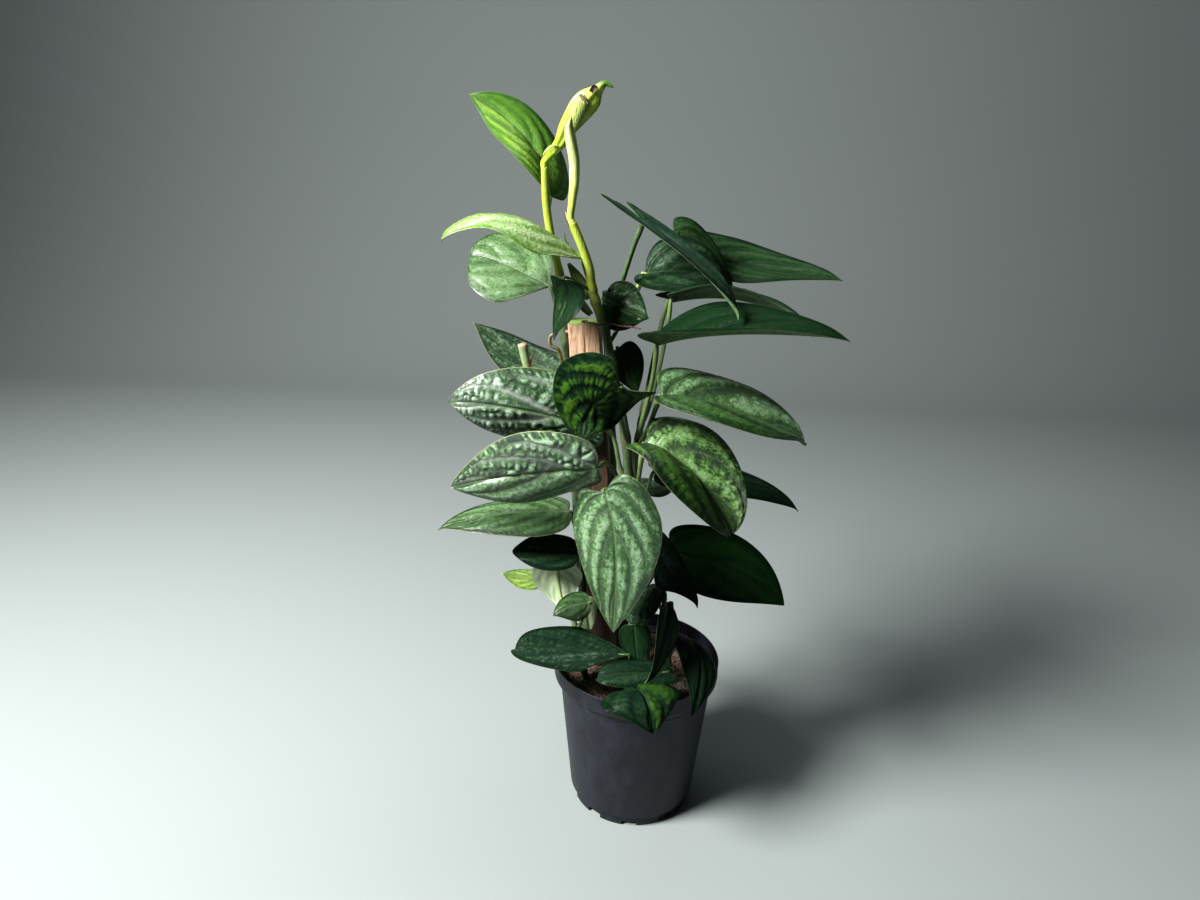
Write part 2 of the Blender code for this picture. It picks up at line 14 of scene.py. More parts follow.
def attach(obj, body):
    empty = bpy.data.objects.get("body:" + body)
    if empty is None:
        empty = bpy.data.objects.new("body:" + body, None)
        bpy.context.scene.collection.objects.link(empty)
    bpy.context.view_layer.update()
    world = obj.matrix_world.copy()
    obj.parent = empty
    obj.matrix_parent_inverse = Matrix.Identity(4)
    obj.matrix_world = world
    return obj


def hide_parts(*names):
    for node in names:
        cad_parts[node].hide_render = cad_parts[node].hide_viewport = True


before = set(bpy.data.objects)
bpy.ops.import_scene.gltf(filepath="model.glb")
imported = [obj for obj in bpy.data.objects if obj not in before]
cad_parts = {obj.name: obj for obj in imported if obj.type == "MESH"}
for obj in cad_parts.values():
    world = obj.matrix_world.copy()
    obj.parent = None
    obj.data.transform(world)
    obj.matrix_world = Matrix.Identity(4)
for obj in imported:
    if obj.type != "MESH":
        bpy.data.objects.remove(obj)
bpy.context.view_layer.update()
MM = 0.001

# ------------------------------------------------------------------------------ nursery pot
# A thin pot of charcoal polypropylene, moulded in one piece. It has a stepped foot with ten
# drain notches, a tapered wall and a turned-out lip, and it stands on its foot.

# radius, height and rounding of each corner, in mm
POT_PROFILE = (
    (0, 0, 0), (63, 0, 1.6), (63, 10.6, 1.0), (66, 11.4, 1.0), (78.2, 137.5, 0.5),
    (78.9, 139, 0.6), (78.6, 141.2, 0.6), (79, 146.6, 1.2), (84.4, 147.4, 1.8),
    (85, 151, 1.5), (84.7, 160.5, 1.0), (85, 166, 0.7), (83.5, 166, 0.6), (83.5, 149.4, 1.2),
    (77.5, 147, 1.2), (64.6, 13, 1.5), (61.6, 9, 1.5), (61.6, 2, 0.8), (0, 2, 0))
POT_SECTORS = 192
DRAIN_COUNT = 10
DRAIN_WIDTH = 15
DRAIN_HEIGHT = 6
DRAIN_INNER_RADIUS = 50
DRAIN_OUTER_RADIUS = 70
NOTCH_EDGE = 0.4                     # how much the notches' edges are rounded
POT_SHARP = 48                       # degrees: a steeper turn between two faces is an edge
SCUFFED_FROM = (0.09, 0.14)          # metres up the wall, where the scuffs begin and are full
CHARCOAL = (0.006, 0.0065, 0.01)
CHARCOAL_WORN = (0.02, 0.022, 0.034)
CHARCOAL_SCUFF = (0.16, 0.17, 0.2)


def add_node(tree, kind, sockets=None, **settings):
    """A shader node with its settings, and its inputs set to a value or linked to an output."""
    made = tree.nodes.new(kind)
    for name, value in settings.items():
        setattr(made, name, value)
    for name, value in (sockets or {}).items():
        if isinstance(value, bpy.types.NodeSocket):
            tree.links.new(value, made.inputs[name])
        else:
            made.inputs[name].default_value = value
    return made


def socket_value(value):
    """A colour as a socket takes it, with full opacity. Any other value stays as it is."""
    return (*value, 1.0) if isinstance(value, tuple) else value


def blended(tree, share, first, second):
    """One colour turning into another by a share."""
    sockets = {0: share, 6: socket_value(first), 7: socket_value(second)}
    return add_node(tree, "ShaderNodeMix", sockets, data_type="RGBA").outputs[2]


def math_of(tree, operation, *values, clamp=False):
    """One step of arithmetic on values that change over the surface."""
    return add_node(tree, "ShaderNodeMath", dict(enumerate(values)), operation=operation,
                    use_clamp=clamp).outputs[0]


def times(tree, value, factor):
    return math_of(tree, "MULTIPLY", value, factor)


def scaled(tree, value, factor, offset, clamp=False):
    """A value times a factor, plus an offset."""
    return math_of(tree, "MULTIPLY_ADD", value, factor, offset, clamp=clamp)


def layered(tree, colour, *coats):
    """A colour with others laid over it. Each coat has a mask, a strength and a colour."""
    for mask, strength, tint in coats:
        share = mask if strength == 1 else times(tree, mask, strength)
        colour = blended(tree, share, colour, tint)
    return colour


def ramp(tree, value, low, high):
    """A share from 0 to 1 as a value goes from low to high."""
    made = add_node(tree, "ShaderNodeMapRange", {"Value": value, "From Min": low, "From Max": high},
                    interpolation_type="SMOOTHSTEP")
    return made.outputs["Result"]


def new_group(name, inputs, outputs):
    """A shader node group with its sockets, and its input and output nodes."""
    kinds = {float: "NodeSocketFloat", tuple: "NodeSocketColor", Vector: "NodeSocketVector"}
    group = bpy.data.node_groups.new(name, "ShaderNodeTree")
    for label, value in inputs.items():
        socket = group.interface.new_socket(name=label, in_out="INPUT",
                                            socket_type=kinds[type(value)])
        socket.default_value = socket_value(value)
    for label, kind in outputs.items():
        group.interface.new_socket(name=label, in_out="OUTPUT", socket_type=kinds[kind])
    return group, group.nodes.new("NodeGroupInput"), group.nodes.new("NodeGroupOutput")


def placed(tree, group, **values):
    """A group in a material, with its own values."""
    sockets = {name: socket_value(value) for name, value in values.items()}
    return add_node(tree, "ShaderNodeGroup", sockets, node_tree=group)


def new_finish(name, roughness, coat=0.0, specular=0.5):
    """A material, its node tree and its Principled shader."""
    finish = bpy.data.materials.new(name)
    finish.use_nodes = True
    shader = finish.node_tree.nodes["Principled BSDF"]
    shader.inputs["Roughness"].default_value = roughness
    shader.inputs["Coat Weight"].default_value = coat
    shader.inputs["Coat Roughness"].default_value = 0.25
    shader.inputs["Specular IOR Level"].default_value = specular
    return finish, finish.node_tree, shader


def dress(tree, shader, colour, height, depth, roughness=None):
    """Gives a shader its colour, fine relief of a depth in metres, and uneven roughness."""
    tree.links.new(colour, shader.inputs["Base Color"])
    bump = add_node(tree, "ShaderNodeBump", {"Height": height, "Distance": depth, "Strength": 1.0})
    tree.links.new(bump.outputs["Normal"], shader.inputs["Normal"])
    if roughness:
        tree.links.new(roughness, shader.inputs["Roughness"])


def mottle_group():
    """Soft blotches, stretched by a scale along each axis."""
    group, given, result = new_group(
        "mottle", {"Stretch": Vector((100, 100, 100)), "Low": 0.4, "High": 0.6, "Detail": 3.0},
        {"Mask": float, "Noise": float})
    place = add_node(group, "ShaderNodeTexCoord").outputs["Object"]
    stretched = add_node(group, "ShaderNodeVectorMath", {0: place, 1: given.outputs["Stretch"]},
                         operation="MULTIPLY")
    cloud = add_node(group, "ShaderNodeTexNoise", {
        "Vector": stretched.outputs[0], "Scale": 1.0, "Detail": given.outputs["Detail"],
        "Roughness": 0.6})
    mask = ramp(group, cloud.outputs["Fac"], given.outputs["Low"], given.outputs["High"])
    group.links.new(mask, result.inputs["Mask"])
    group.links.new(cloud.outputs["Fac"], result.inputs["Noise"])
    return group


mottle = mottle_group()


def mottled(tree, stretch, low=0.4, high=0.6, detail=3.0, output="Mask"):
    """Blotches of a stretch, as a mask that goes from 0 at low to 1 at high."""
    return placed(tree, mottle, Stretch=Vector(stretch), Low=low, High=high,
                  Detail=detail).outputs[output]


def made_piece(name, points, faces, finishes, finish_of_face=None):
    """A smooth-shaded piece from points in metres, with a finish for each kind of face."""
    mesh = bpy.data.meshes.new(name)
    mesh.from_pydata(np.asarray(points).tolist(), [], faces)
    for finish in finishes:
        mesh.materials.append(finish)
    if finish_of_face is not None:
        mesh.polygons.foreach_set("material_index", finish_of_face)
    mesh.shade_smooth()
    piece = bpy.data.objects.new(name, mesh)
    bpy.context.scene.collection.objects.link(piece)
    return piece


def stands_for(piece, slot, *nodes):
    """Fixes a piece to the plant's one body, in place of the CAD nodes that it stands for."""
    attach(piece, "root")
    if nodes:
        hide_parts(*nodes)


def ring_faces(rings, sides, start=0):
    """Quads between neighbouring rings of points."""
    faces = []
    for ring in range(rings - 1):
        for side in range(sides):
            here = start + ring * sides + side
            there = start + ring * sides + (side + 1) % sides
            faces.append((here, there, there + sides, here + sides))
    return faces


def fan_faces(middle, ring_start, sides, reverse=False):
    """Triangles between a middle point and a ring."""
    faces = []
    for side in range(sides):
        first, second = ring_start + side, ring_start + (side + 1) % sides
        faces.append((middle, second, first) if reverse else (middle, first, second))
    return faces


def capped(points, faces, rings, sides, foot, top):
    """Closes both ends of a run of rings, each with a fan round one point."""
    middle = len(points)
    points += [foot, top]
    faces += fan_faces(middle, 0, sides, reverse=True)
    faces += fan_faces(middle + 1, (rings - 1) * sides, sides)


def filleted(corners):
    """A profile whose corners are rounded by short arcs."""
    outline = [Vector(corners[0][:2])]
    for before, here, after in zip(corners, corners[1:], corners[2:]):
        corner = Vector(here[:2])
        back = (Vector(before[:2]) - corner).normalized() * here[2]
        on = (Vector(after[:2]) - corner).normalized() * here[2]
        for t in (0.0, 0.25, 0.5, 0.75, 1.0):
            outline.append(corner + back * (1 - t) ** 2 + on * t ** 2)
    outline.append(Vector(corners[-1][:2]))
    return outline


def turned(profile, sectors):
    """Points and faces of a closed shape turned about Z, from the axis round to the axis."""
    turns = [2 * math.pi * index / sectors for index in range(sectors)]
    inner = profile[1:-1]
    points = [(radius * math.cos(turn), radius * math.sin(turn), height)
              for radius, height in inner for turn in turns]
    faces = ring_faces(len(inner), sectors)
    capped(points, faces, len(inner), sectors, (0, 0, profile[0][1]), (0, 0, profile[-1][1]))
    return np.array(points), faces


def height_above(tree):
    """The height above the pot's foot, in metres."""
    place = add_node(tree, "ShaderNodeTexCoord").outputs["Object"]
    return add_node(tree, "ShaderNodeSeparateXYZ", {0: place}).outputs["Z"]


def pot_finish():
    """Even black plastic with a faint moulded grain, scuffed pale under the lip."""
    finish, tree, shader = new_finish("charcoal_plastic", 0.5, specular=0.45)
    clouds = mottled(tree, (60, 60, 30), 0.35, 0.7)
    speckle = mottled(tree, (900, 900, 380), 0.5, 0.66, 2.0)
    scuffs = mottled(tree, (150, 150, 22), 0.62, 0.76, 6.0)
    scuffed = times(tree, scuffs, times(tree, ramp(tree, height_above(tree), *SCUFFED_FROM), 0.5))
    colour = layered(tree, CHARCOAL, (clouds, 1, CHARCOAL_WORN), (speckle, 0.5, CHARCOAL_WORN),
                     (scuffed, 1, CHARCOAL_SCUFF))
    dress(tree, shader, colour, mottled(tree, (1100, 1100, 500), detail=2.0, output="Noise"),
          0.0005, scaled(tree, clouds, 0.16, 0.42))
    return finish


pot_points, pot_faces = turned(filleted(POT_PROFILE), POT_SECTORS)
pot = made_piece("charcoal_pot", pot_points * MM, pot_faces, [pot_finish()])
notches = bmesh.new()
for index in range(DRAIN_COUNT):
    about = Quaternion((0, 0, 1), 2 * math.pi * (index + 0.5) / DRAIN_COUNT)
    for corner in bmesh.ops.create_cube(notches, size=1.0)["verts"]:
        reach = DRAIN_OUTER_RADIUS if corner.co.x > 0 else DRAIN_INNER_RADIUS
        spot = Vector((reach, corner.co.y * DRAIN_WIDTH, corner.co.z * 2 * DRAIN_HEIGHT))
        corner.co = about @ spot * MM
notch_mesh = bpy.data.meshes.new("drain_notches")
notches.to_mesh(notch_mesh)
notches.free()
notch_cutter = bpy.data.objects.new("drain_notches", notch_mesh)
bpy.context.scene.collection.objects.link(notch_cutter)
opening = pot.modifiers.new("drain_notches", "BOOLEAN")
opening.operation = "DIFFERENCE"
opening.object = notch_cutter
edge_round = pot.modifiers.new("notch_edges", "BEVEL")
edge_round.width = NOTCH_EDGE * MM
edge_round.segments = 1
edge_round.limit_method = "ANGLE"
edge_round.angle_limit = math.radians(50)
drained = bpy.data.meshes.new_from_object(pot.evaluated_get(bpy.context.evaluated_depsgraph_get()))
pot.modifiers.clear()
pot.data = drained
bpy.data.objects.remove(notch_cutter, do_unlink=True)
pot.data.set_sharp_from_angle(angle=math.radians(POT_SHARP))
stands_for(pot, "pot_plastic", "nursery_pot")

# ------------------------------------------------------------------------------ potting soil
# A loose mix of dark peat and composted bark, filled to two centimetres under the lip. Chips
# of reddish bark, crumbs and pale root fibres lie loose on its top.

SOIL_TOP = 146
SOIL_MOUND = 3
SOIL_EDGE_RADIUS = 76.8
SOIL_FOOT_RADIUS = 60.5
SOIL_PROFILE = ((SOIL_FOOT_RADIUS, 2.6), (SOIL_FOOT_RADIUS, 12), (64, 15.5))
SOIL_EDGE_DROP = 1.2                 # how far it falls away at the pot's wall
SOIL_LUMP = 14                       # length of its hollows and lumps
SOIL_ROUGHNESS = ((1, 1.7), (2.7, 1.1), (7, 0.6))   # how much finer than a lump, and height
SOIL_RINGS = 46
SOIL_SECTORS = 150
PEAT = (0.075, 0.06, 0.05)
PEAT_DRY = (0.3, 0.24, 0.2)
BARK = (0.09, 0.05, 0.035)
BARK_PALE = (0.3, 0.19, 0.13)
FIBRE = (0.42, 0.3, 0.17)
CHIP_COUNT = 640
CRUMB_COUNT = 2100
FIBRE_COUNT = 70
FIBRE_SPREAD = 70                    # how far out they start
FIBRE_STEP = 2.4
FIBRE_STEPS = 5
FIBRE_BEND = 0.9
FIBRE_SIDES = 5


def soil_height(x, y):
    """The top of the soil in mm at a place in mm."""
    radius = min(math.hypot(x, y) / SOIL_EDGE_RADIUS, 1.0)
    spot = Vector((x, y, 0)) / SOIL_LUMP
    rough = sum(height * noise.noise(spot * finer) for finer, height in SOIL_ROUGHNESS)
    return SOIL_TOP + SOIL_MOUND * (1 - radius ** 2) - SOIL_EDGE_DROP * radius ** 8 + rough


def grain_finish(name, dark, pale, roughness):
    """An earthy finish that changes from grain to grain."""
    finish, tree, shader = new_finish(name, roughness, specular=0.25)
    grains = mottled(tree, (420, 420, 420), 0.35, 0.7, 4.0)
    dust = mottled(tree, (1500, 1500, 1500), 0.5, 0.75, 2.0)
    colour = layered(tree, dark, (grains, 1, pale), (dust, 0.35, pale))
    dress(tree, shader, colour, mottled(tree, (1300, 1300, 1300), output="Noise"), 0.0008,
          scaled(tree, grains, -0.15, roughness))
    return finish


soil_turns = np.linspace(0, 2 * math.pi, SOIL_SECTORS, endpoint=False)
soil_points = [(radius * math.cos(turn), radius * math.sin(turn), height)
               for radius, height in SOIL_PROFILE for turn in soil_turns]
for ring in range(SOIL_RINGS):
    radius = SOIL_EDGE_RADIUS * (1 - ring / SOIL_RINGS)
    for turn in soil_turns:
        x, y = radius * math.cos(turn), radius * math.sin(turn)
        soil_points.append((x, y, soil_height(x, y)))
soil_rings = SOIL_RINGS + len(SOIL_PROFILE)
soil_faces = ring_faces(soil_rings, SOIL_SECTORS)
capped(soil_points, soil_faces, soil_rings, SOIL_SECTORS, (0, 0, SOIL_PROFILE[0][1]),
       (0, 0, soil_height(0, 0)))
soil = made_piece("peat_bed", np.array(soil_points) * MM, soil_faces,
                  [grain_finish("peat", PEAT, PEAT_DRY, 0.95)])
stands_for(soil, "potting_mix", "potting_soil")


def lump_shapes(subdivisions):
    """Points and faces of a small ball."""
    ball = bmesh.new()
    bmesh.ops.create_icosphere(ball, subdivisions=subdivisions, radius=1.0)
    points = np.array([corner.co[:] for corner in ball.verts])
    faces = [tuple(corner.index for corner in face.verts) for face in ball.faces]
    ball.free()
    return points, faces


def scattered_lumps(name, count, sizes, flatness, subdivisions, finish, seed):
    """Broken lumps lying at all angles on the soil."""
    rng = np.random.default_rng(seed)
    ball, ball_faces = lump_shapes(subdivisions)
    points, faces = [], []
    for index in range(count):
        radius = (SOIL_EDGE_RADIUS - 2) * math.sqrt(rng.random())
        turn = 2 * math.pi * rng.random()
        x, y = radius * math.cos(turn), radius * math.sin(turn)
        long_side = sizes[0] + (sizes[1] - sizes[0]) * rng.random() ** 2
        shape = ball * (1 + 0.35 * (rng.random((len(ball), 1)) - 0.5))
        shape = shape * long_side * np.array((1.0, 0.4 + 0.35 * rng.random(), flatness))
        lean = Quaternion(Vector(rng.normal(size=3)).normalized(), 0.9 * rng.random())
        lean = lean @ Quaternion((0, 0, 1), 2 * math.pi * rng.random())
        shape = shape @ np.array(lean.to_matrix()).T
        lift = 0.25 * long_side * rng.random()
        start = len(points) * len(ball)
        points.append(shape + np.array((x, y, soil_height(x, y) + lift)))
        faces += [tuple(start + corner for corner in face) for face in ball_faces]
    lumps = made_piece(name, np.vstack(points) * MM, faces, [finish])
    lumps.data.set_sharp_from_angle(angle=math.radians(35))
    stands_for(lumps, "potting_mix")


scattered_lumps("bark_chips", CHIP_COUNT, (1.2, 4.2), 0.3, 2,
                grain_finish("composted_bark", BARK, BARK_PALE, 0.85), seed=3)
scattered_lumps("peat_crumbs", CRUMB_COUNT, (0.5, 1.5), 0.7, 1,
                grain_finish("peat_crumb", PEAT, PEAT_DRY, 0.95), seed=4)


def smooth_route(points, steps):
    """A Catmull-Rom curve through the points."""
    points = [Vector(point) for point in points]
    ends = [2 * points[0] - points[1], *points, 2 * points[-1] - points[-2]]
    route = []
    for before, here, there, after in zip(ends, ends[1:], ends[2:], ends[3:]):
        for step in range(steps):
            t = step / steps
            route.append(0.5 * (
                2 * here + (there - before) * t
                + (2 * before - 5 * here + 4 * there - after) * t ** 2
                + (3 * here - before - 3 * there + after) * t ** 3))
    route.append(points[-1])
    return route


def tangents(route):
    """The direction at each point of a route."""
    ways = []
    for index in range(len(route)):
        first, last = route[max(index - 1, 0)], route[min(index + 1, len(route) - 1)]
        ways.append((last - first).normalized())
    return ways


def carried_sides(ways, side):
    """The sideways direction carried along a route without twisting it."""
    sides = [(side - side.project(ways[0])).normalized()]
    for before, after in zip(ways, ways[1:]):
        sides.append(before.rotation_difference(after) @ sides[-1])
    return sides


def swept(route, section):
    """Points of rings along a route. The section gives a ring's (across, up) points in mm."""
    ways = tangents(route)
    sides = carried_sides(ways, Vector((1, 0, 0)))
    points = []
    for index, (middle, way, across) in enumerate(zip(route, ways, sides)):
        up = across.cross(way)
        for x, y in section(index / (len(route) - 1)):
            points.append(middle + across * x + up * y)
    return points


def closed_tube(rings, sides, start=0):
    """Faces of a tube with flat ends."""
    faces = ring_faces(rings, sides, start=start)
    faces.append(tuple(start + side for side in reversed(range(sides))))
    faces.append(tuple(start + (rings - 1) * sides + side for side in range(sides)))
    return faces


def round_section(radius, sides):
    """The points of a circle, for swept()."""
    return [(radius * math.cos(2 * math.pi * side / sides),
             radius * math.sin(2 * math.pi * side / sides)) for side in range(sides)]


fibre_points, fibre_faces = [], []
fibre_draw = np.random.default_rng(5)
for index in range(FIBRE_COUNT):
    radius = FIBRE_SPREAD * math.sqrt(fibre_draw.random())
    turn = 2 * math.pi * fibre_draw.random()
    heading = 2 * math.pi * fibre_draw.random()
    x, y = radius * math.cos(turn), radius * math.sin(turn)
    strand = []
    for step in range(FIBRE_STEPS):
        strand.append((x, y, soil_height(x, y) + 1.2 * fibre_draw.random()))
        heading += FIBRE_BEND * (fibre_draw.random() - 0.5)
        x += FIBRE_STEP * math.cos(heading)
        y += FIBRE_STEP * math.sin(heading)
        if math.hypot(x, y) > SOIL_EDGE_RADIUS - 1:
            break
    if len(strand) < 3:
        continue
    strand_route = smooth_route(strand, 3)
    start = len(fibre_points)
    thickness = 0.12 + 0.18 * fibre_draw.random()
    fibre_points += swept(
        strand_route, lambda t: round_section(thickness * (1.1 - 0.8 * t), FIBRE_SIDES))
    fibre_faces += closed_tube(len(strand_route), FIBRE_SIDES, start)
fibres = made_piece("root_fibres", np.array(fibre_points) * MM, fibre_faces,
                    [grain_finish("dry_fibre", BARK_PALE, FIBRE, 0.8)])
stands_for(fibres, "potting_mix")

# ------------------------------------------------------------------------------ wooden post
# A sawn square post of pale softwood, pushed down through the root ball. It has long grain,
# drying cracks and slightly worn edges, is painted dark below its top as the shade of the leaves
# over it, and is green at its top end.

POST_SIDE = 29
POST_TOP = Vector((-61, 15, 510))
POST_FOOT = Vector((-22, 15, 24))
POST_CORNER = 1.1
POST_FLAT_STEPS = 18
POST_RINGS = 230
POST_SHARP = 42                      # degrees: a steeper turn between two faces is an edge
CRACK_DEPTH = 0.9
# the point of the section that each crack follows, and its start and length along the post
CRACKS = ((4, 0.86, 0.09), (9, 0.93, 0.05), (13, 0.8, 0.16), (7, 0.6, 0.2), (25, 0.9, 0.07),
          (31, 0.5, 0.3), (47, 0.82, 0.15), (53, 0.3, 0.4), (66, 0.7, 0.25), (72, 0.93, 0.06))
SHADE_FROM = (0.5, 0.46)              # metres up, where the painted shade begins and where it is full
MOSS_FROM = (0.5085, 0.5092)         # metres up: only the sawn end is green
WOOD = (0.62, 0.42, 0.29)
WOOD_DARK = (0.38, 0.23, 0.15)
# dark in the pores, and the painted shade over the post's lower part
WOOD_PORE_AND_SHADE = (0.1, 0.052, 0.032)
WOOD_MOSS = (0.3, 0.4, 0.13)


def post_section():
    """The outline of a square bar with rounded corners, in mm."""
    half = POST_SIDE / 2
    outline = []
    for quarter in range(4):
        turn = Quaternion((0, 0, 1), quarter * math.pi / 2)
        for step in range(POST_FLAT_STEPS):
            share = step / (POST_FLAT_STEPS - 1)
            along = -half + POST_CORNER + (POST_SIDE - 2 * POST_CORNER) * share
            outline.append(turn @ Vector((along, -half, 0)))
        middle = Vector((half - POST_CORNER, POST_CORNER - half, 0))
        for angle in (-60, -30):
            lean = math.radians(angle)
            outline.append(turn @ (middle + POST_CORNER * Vector((math.cos(lean), math.sin(lean), 0))))
    return outline


def post_points():
    """The post's rings of points with saw marks, raised grain and cracks cut into them."""
    outline = post_section()
    points = []
    for ring in range(POST_RINGS):
        share = ring / (POST_RINGS - 1)
        middle = POST_FOOT.lerp(POST_TOP, share)
        for index, spot in enumerate(outline):
            outwards = spot.normalized()
            sample = Vector((spot.x / 1.6, spot.y / 1.6, middle.z / 45))
            grain = 0.16 * noise.noise(sample) + 0.1 * noise.noise(sample * 2.3)
            saw = 0.05 * math.sin(middle.z * 1.9 + 2 * noise.noise(spot / 9))
            crack = 0.0
            for line, low, length in CRACKS:
                if index == line and low < share < low + length:
                    crack = CRACK_DEPTH * math.sin(math.pi * (share - low) / length) ** 0.5
            points.append(middle + spot + outwards * (grain + saw - crack - 0.2))
    return points


def wood_finish():
    """Sawn pine: dark lines along the post, pores, bands, painted shade over its lower part and a mossy
    top.
    """
    finish, tree, shader = new_finish("sawn_softwood", 0.75, specular=0.3)
    place = add_node(tree, "ShaderNodeTexCoord").outputs["Object"]
    upright = add_node(tree, "ShaderNodeVectorRotate", {
        "Vector": place, "Center": POST_TOP * MM, "Axis": (0, 1, 0),
        "Angle": math.atan2(POST_TOP.x - POST_FOOT.x, POST_TOP.z - POST_FOOT.z)})
    stretched = add_node(tree, "ShaderNodeVectorMath", {
        0: upright.outputs[0], 1: (330, 330, 16)}, operation="MULTIPLY")
    lines = add_node(tree, "ShaderNodeTexNoise", {
        "Vector": stretched.outputs[0], "Scale": 1.0, "Detail": 4.0, "Roughness": 0.65,
        "Distortion": 0.4}).outputs["Fac"]
    grain = ramp(tree, lines, 0.38, 0.68)
    pores = mottled(tree, (1500, 1500, 120), 0.56, 0.7, 2.0)
    band = mottled(tree, (25, 25, 260), 0.55, 0.75)
    height = height_above(tree)
    wavering = scaled(tree, mottled(tree, (70, 70, 70), output="Noise"), 0.05, height)
    # the post's lower part is painted dark, as the shade of the leaves over it
    shaded_wood = blended(tree, grain, WOOD_PORE_AND_SHADE, PEAT)
    mossy = times(tree, ramp(tree, height, *MOSS_FROM), mottled(tree, (170, 170, 170), 0.2, 0.45))
    colour = layered(tree, WOOD, (grain, 1, WOOD_DARK), (band, 0.3, WOOD_DARK),
                     (pores, 0.6, WOOD_PORE_AND_SHADE), (ramp(tree, wavering, *SHADE_FROM), 1, shaded_wood),
                     (mossy, 1, WOOD_MOSS))
    dress(tree, shader, colour, math_of(tree, "ADD", lines, times(tree, pores, -0.5)), 0.0006,
          scaled(tree, grain, 0.12, 0.68))
    return finish


post_rings = post_points()
sides = len(post_section())
post_faces = ring_faces(POST_RINGS, sides)
capped(post_rings, post_faces, POST_RINGS, sides, POST_FOOT, POST_TOP - Vector((0, 0, 0.3)))
post = made_piece("sawn_post", np.array(post_rings) * MM, post_faces, [wood_finish()])
post.data.set_sharp_from_angle(angle=math.radians(POST_SHARP))
stands_for(post, "post_wood", "wooden_post")

# ------------------------------------------------------------------------------ twist tie
# Garden wire in a dark plum paper coat, two strands twisted round each other. It hooks over
# the back of the post's top, crosses the front stem and ends in a loose tail.

TIE_ROUTE = ((-58, 12, 511.2), (-63, 7, 511.2), (-59, 2, 511.4), (-52, -5, 512.5),
             (-46, -13, 513), (-38, -10, 512.5), (-34, -4, 512), (-27, -9, 511.5),
             (-17, -14, 512), (-9, -16, 511))
TIE_STRAND_RADIUS = 0.42
TIE_STRAND_OFFSET = 0.4
TIE_TWISTS = 17
TIE_SIDES = 8
PLUM = (0.085, 0.03, 0.04)
PLUM_PALE = (0.22, 0.1, 0.105)

tie_route = smooth_route(TIE_ROUTE, 30)
tie_ways = tangents(tie_route)
tie_sides = carried_sides(tie_ways, Vector((0, 0, 1)))
tie_points, tie_faces = [], []
for strand in (0, 1):
    twisted = []
    for index, (spot, way, side) in enumerate(zip(tie_route, tie_ways, tie_sides)):
        turn = 2 * math.pi * TIE_TWISTS * index / (len(tie_route) - 1) + math.pi * strand
        twisted.append(spot + Quaternion(way, turn) @ side * TIE_STRAND_OFFSET)
    start = len(tie_points)
    tie_points += swept(twisted, lambda t: round_section(TIE_STRAND_RADIUS, TIE_SIDES))
    tie_faces += closed_tube(len(twisted), TIE_SIDES, start)
tie = made_piece("plum_tie", np.array(tie_points) * MM, tie_faces,
                 [grain_finish("paper_coat", PLUM, PLUM_PALE, 0.7)])
stands_for(tie, "tie_wire", "twist_tie")

# ------------------------------------------------------------------------------ stems
# Six climbing stems as thick as a pencil, each with a ringed, swollen node wherever a leaf
# grows. Old lengths are dark green and corky, and the new tops are yellow-green and smooth.

STEM_STEPS = 14
STEM_SIDES = 20
GROWTH_SIDES = 14                  # of the side growth
GROWTH_LIP = 0.97                  # where its end thickens, as a share of its length
STEM_THICKER = 1.1                 # the round stems fill the eight-sided ones
NODE_SWELL = 0.2
NODE_LENGTH = 5
SCAR_BELOW = 2.5                   # how far under a node its ring is
SCAR_WIDTH = 0.9
SCAR_HEIGHT = 0.35
FADE_LENGTH = 30                   # how soon the old skin turns into the new
OLD_SKIN = (0.035, 0.075, 0.028)
GREY_SKIN = (0.1, 0.145, 0.075)
NEW_SKIN = (0.36, 0.44, 0.055)
NEW_SKIN_GREENER = (0.26, 0.4, 0.06)
STUMP_SKIN = (0.3, 0.4, 0.22)
CORK = (0.19, 0.12, 0.07)
SCAR = (0.42, 0.25, 0.2)


def beside_post(height, across, back):
    """A point beside the post's axis at a height, in mm."""
    share = (height - POST_FOOT.z) / (POST_TOP.z - POST_FOOT.z)
    return POST_FOOT.lerp(POST_TOP, share) + Vector((across, back, 0))


# name: radius at the soil, radius at the top, height where the skin turns pale, route
STEMS = {
    "left_stem": (4.0, 3.2, 535, (
        beside_post(130, -20, 0), beside_post(200, -20, 1), beside_post(300, -20, 1),
        beside_post(400, -20, 1), beside_post(485, -20, 3), (-84, 19, 545), (-92, 20, 580),
        (-97, 19, 612), (-98, 16, 644))),
    "front_stem": (4.2, 3.4, 512, (
        (0, -18, 130), (-4, -20, 200), (-9, -20, 290), (-15, -16, 374), (-20, -12, 415),
        (-31, -6, 462), (-40, -3, 502), (-46, -7, 521), (-53, -12, 545), (-55, -16, 562),
        (-62, -19, 582), (-70, -20, 600))),
    "right_stem": (4.2, 2.6, 520, (
        (12, 14, 130), (4, 12, 220), (-4, 8, 300), (-10, 4, 371), (-6, 4, 410), (-2, 6, 440))),
    "back_stem": (4.0, 3.0, 640, (
        (-10, 42, 130), (-22, 38, 230), (-30, 38, 330), (-36, 38, 430), (-42, 36, 500),
        (-43, 32, 535))),
    "low_right_stem": (3.4, 2.6, 400, (
        (32, -14, 130), (32, -18, 165), (33, -16, 200), (32, -10, 235))),
    "low_left_stem": (3.0, 2.4, 400, (
        (-46, -22, 130), (-56, -18, 170), (-64, -12, 205), (-70, -3, 232))),
}
# the heights of each stem's nodes
NODE_HEIGHTS = {
    "left_stem": (178, 222, 255, 298, 345, 388, 440, 448, 470, 520, 552),
    "front_stem": (160, 205, 240, 272, 305, 330, 350, 372, 408, 440, 478, 534, 545),
    "right_stem": (170, 238, 280, 318, 355, 392, 404, 418, 432),
    "back_stem": (185, 235, 285, 340, 390, 440, 496, 515),
    "low_right_stem": (152, 168, 185, 215, 225),
    "low_left_stem": (160, 200, 214),
}
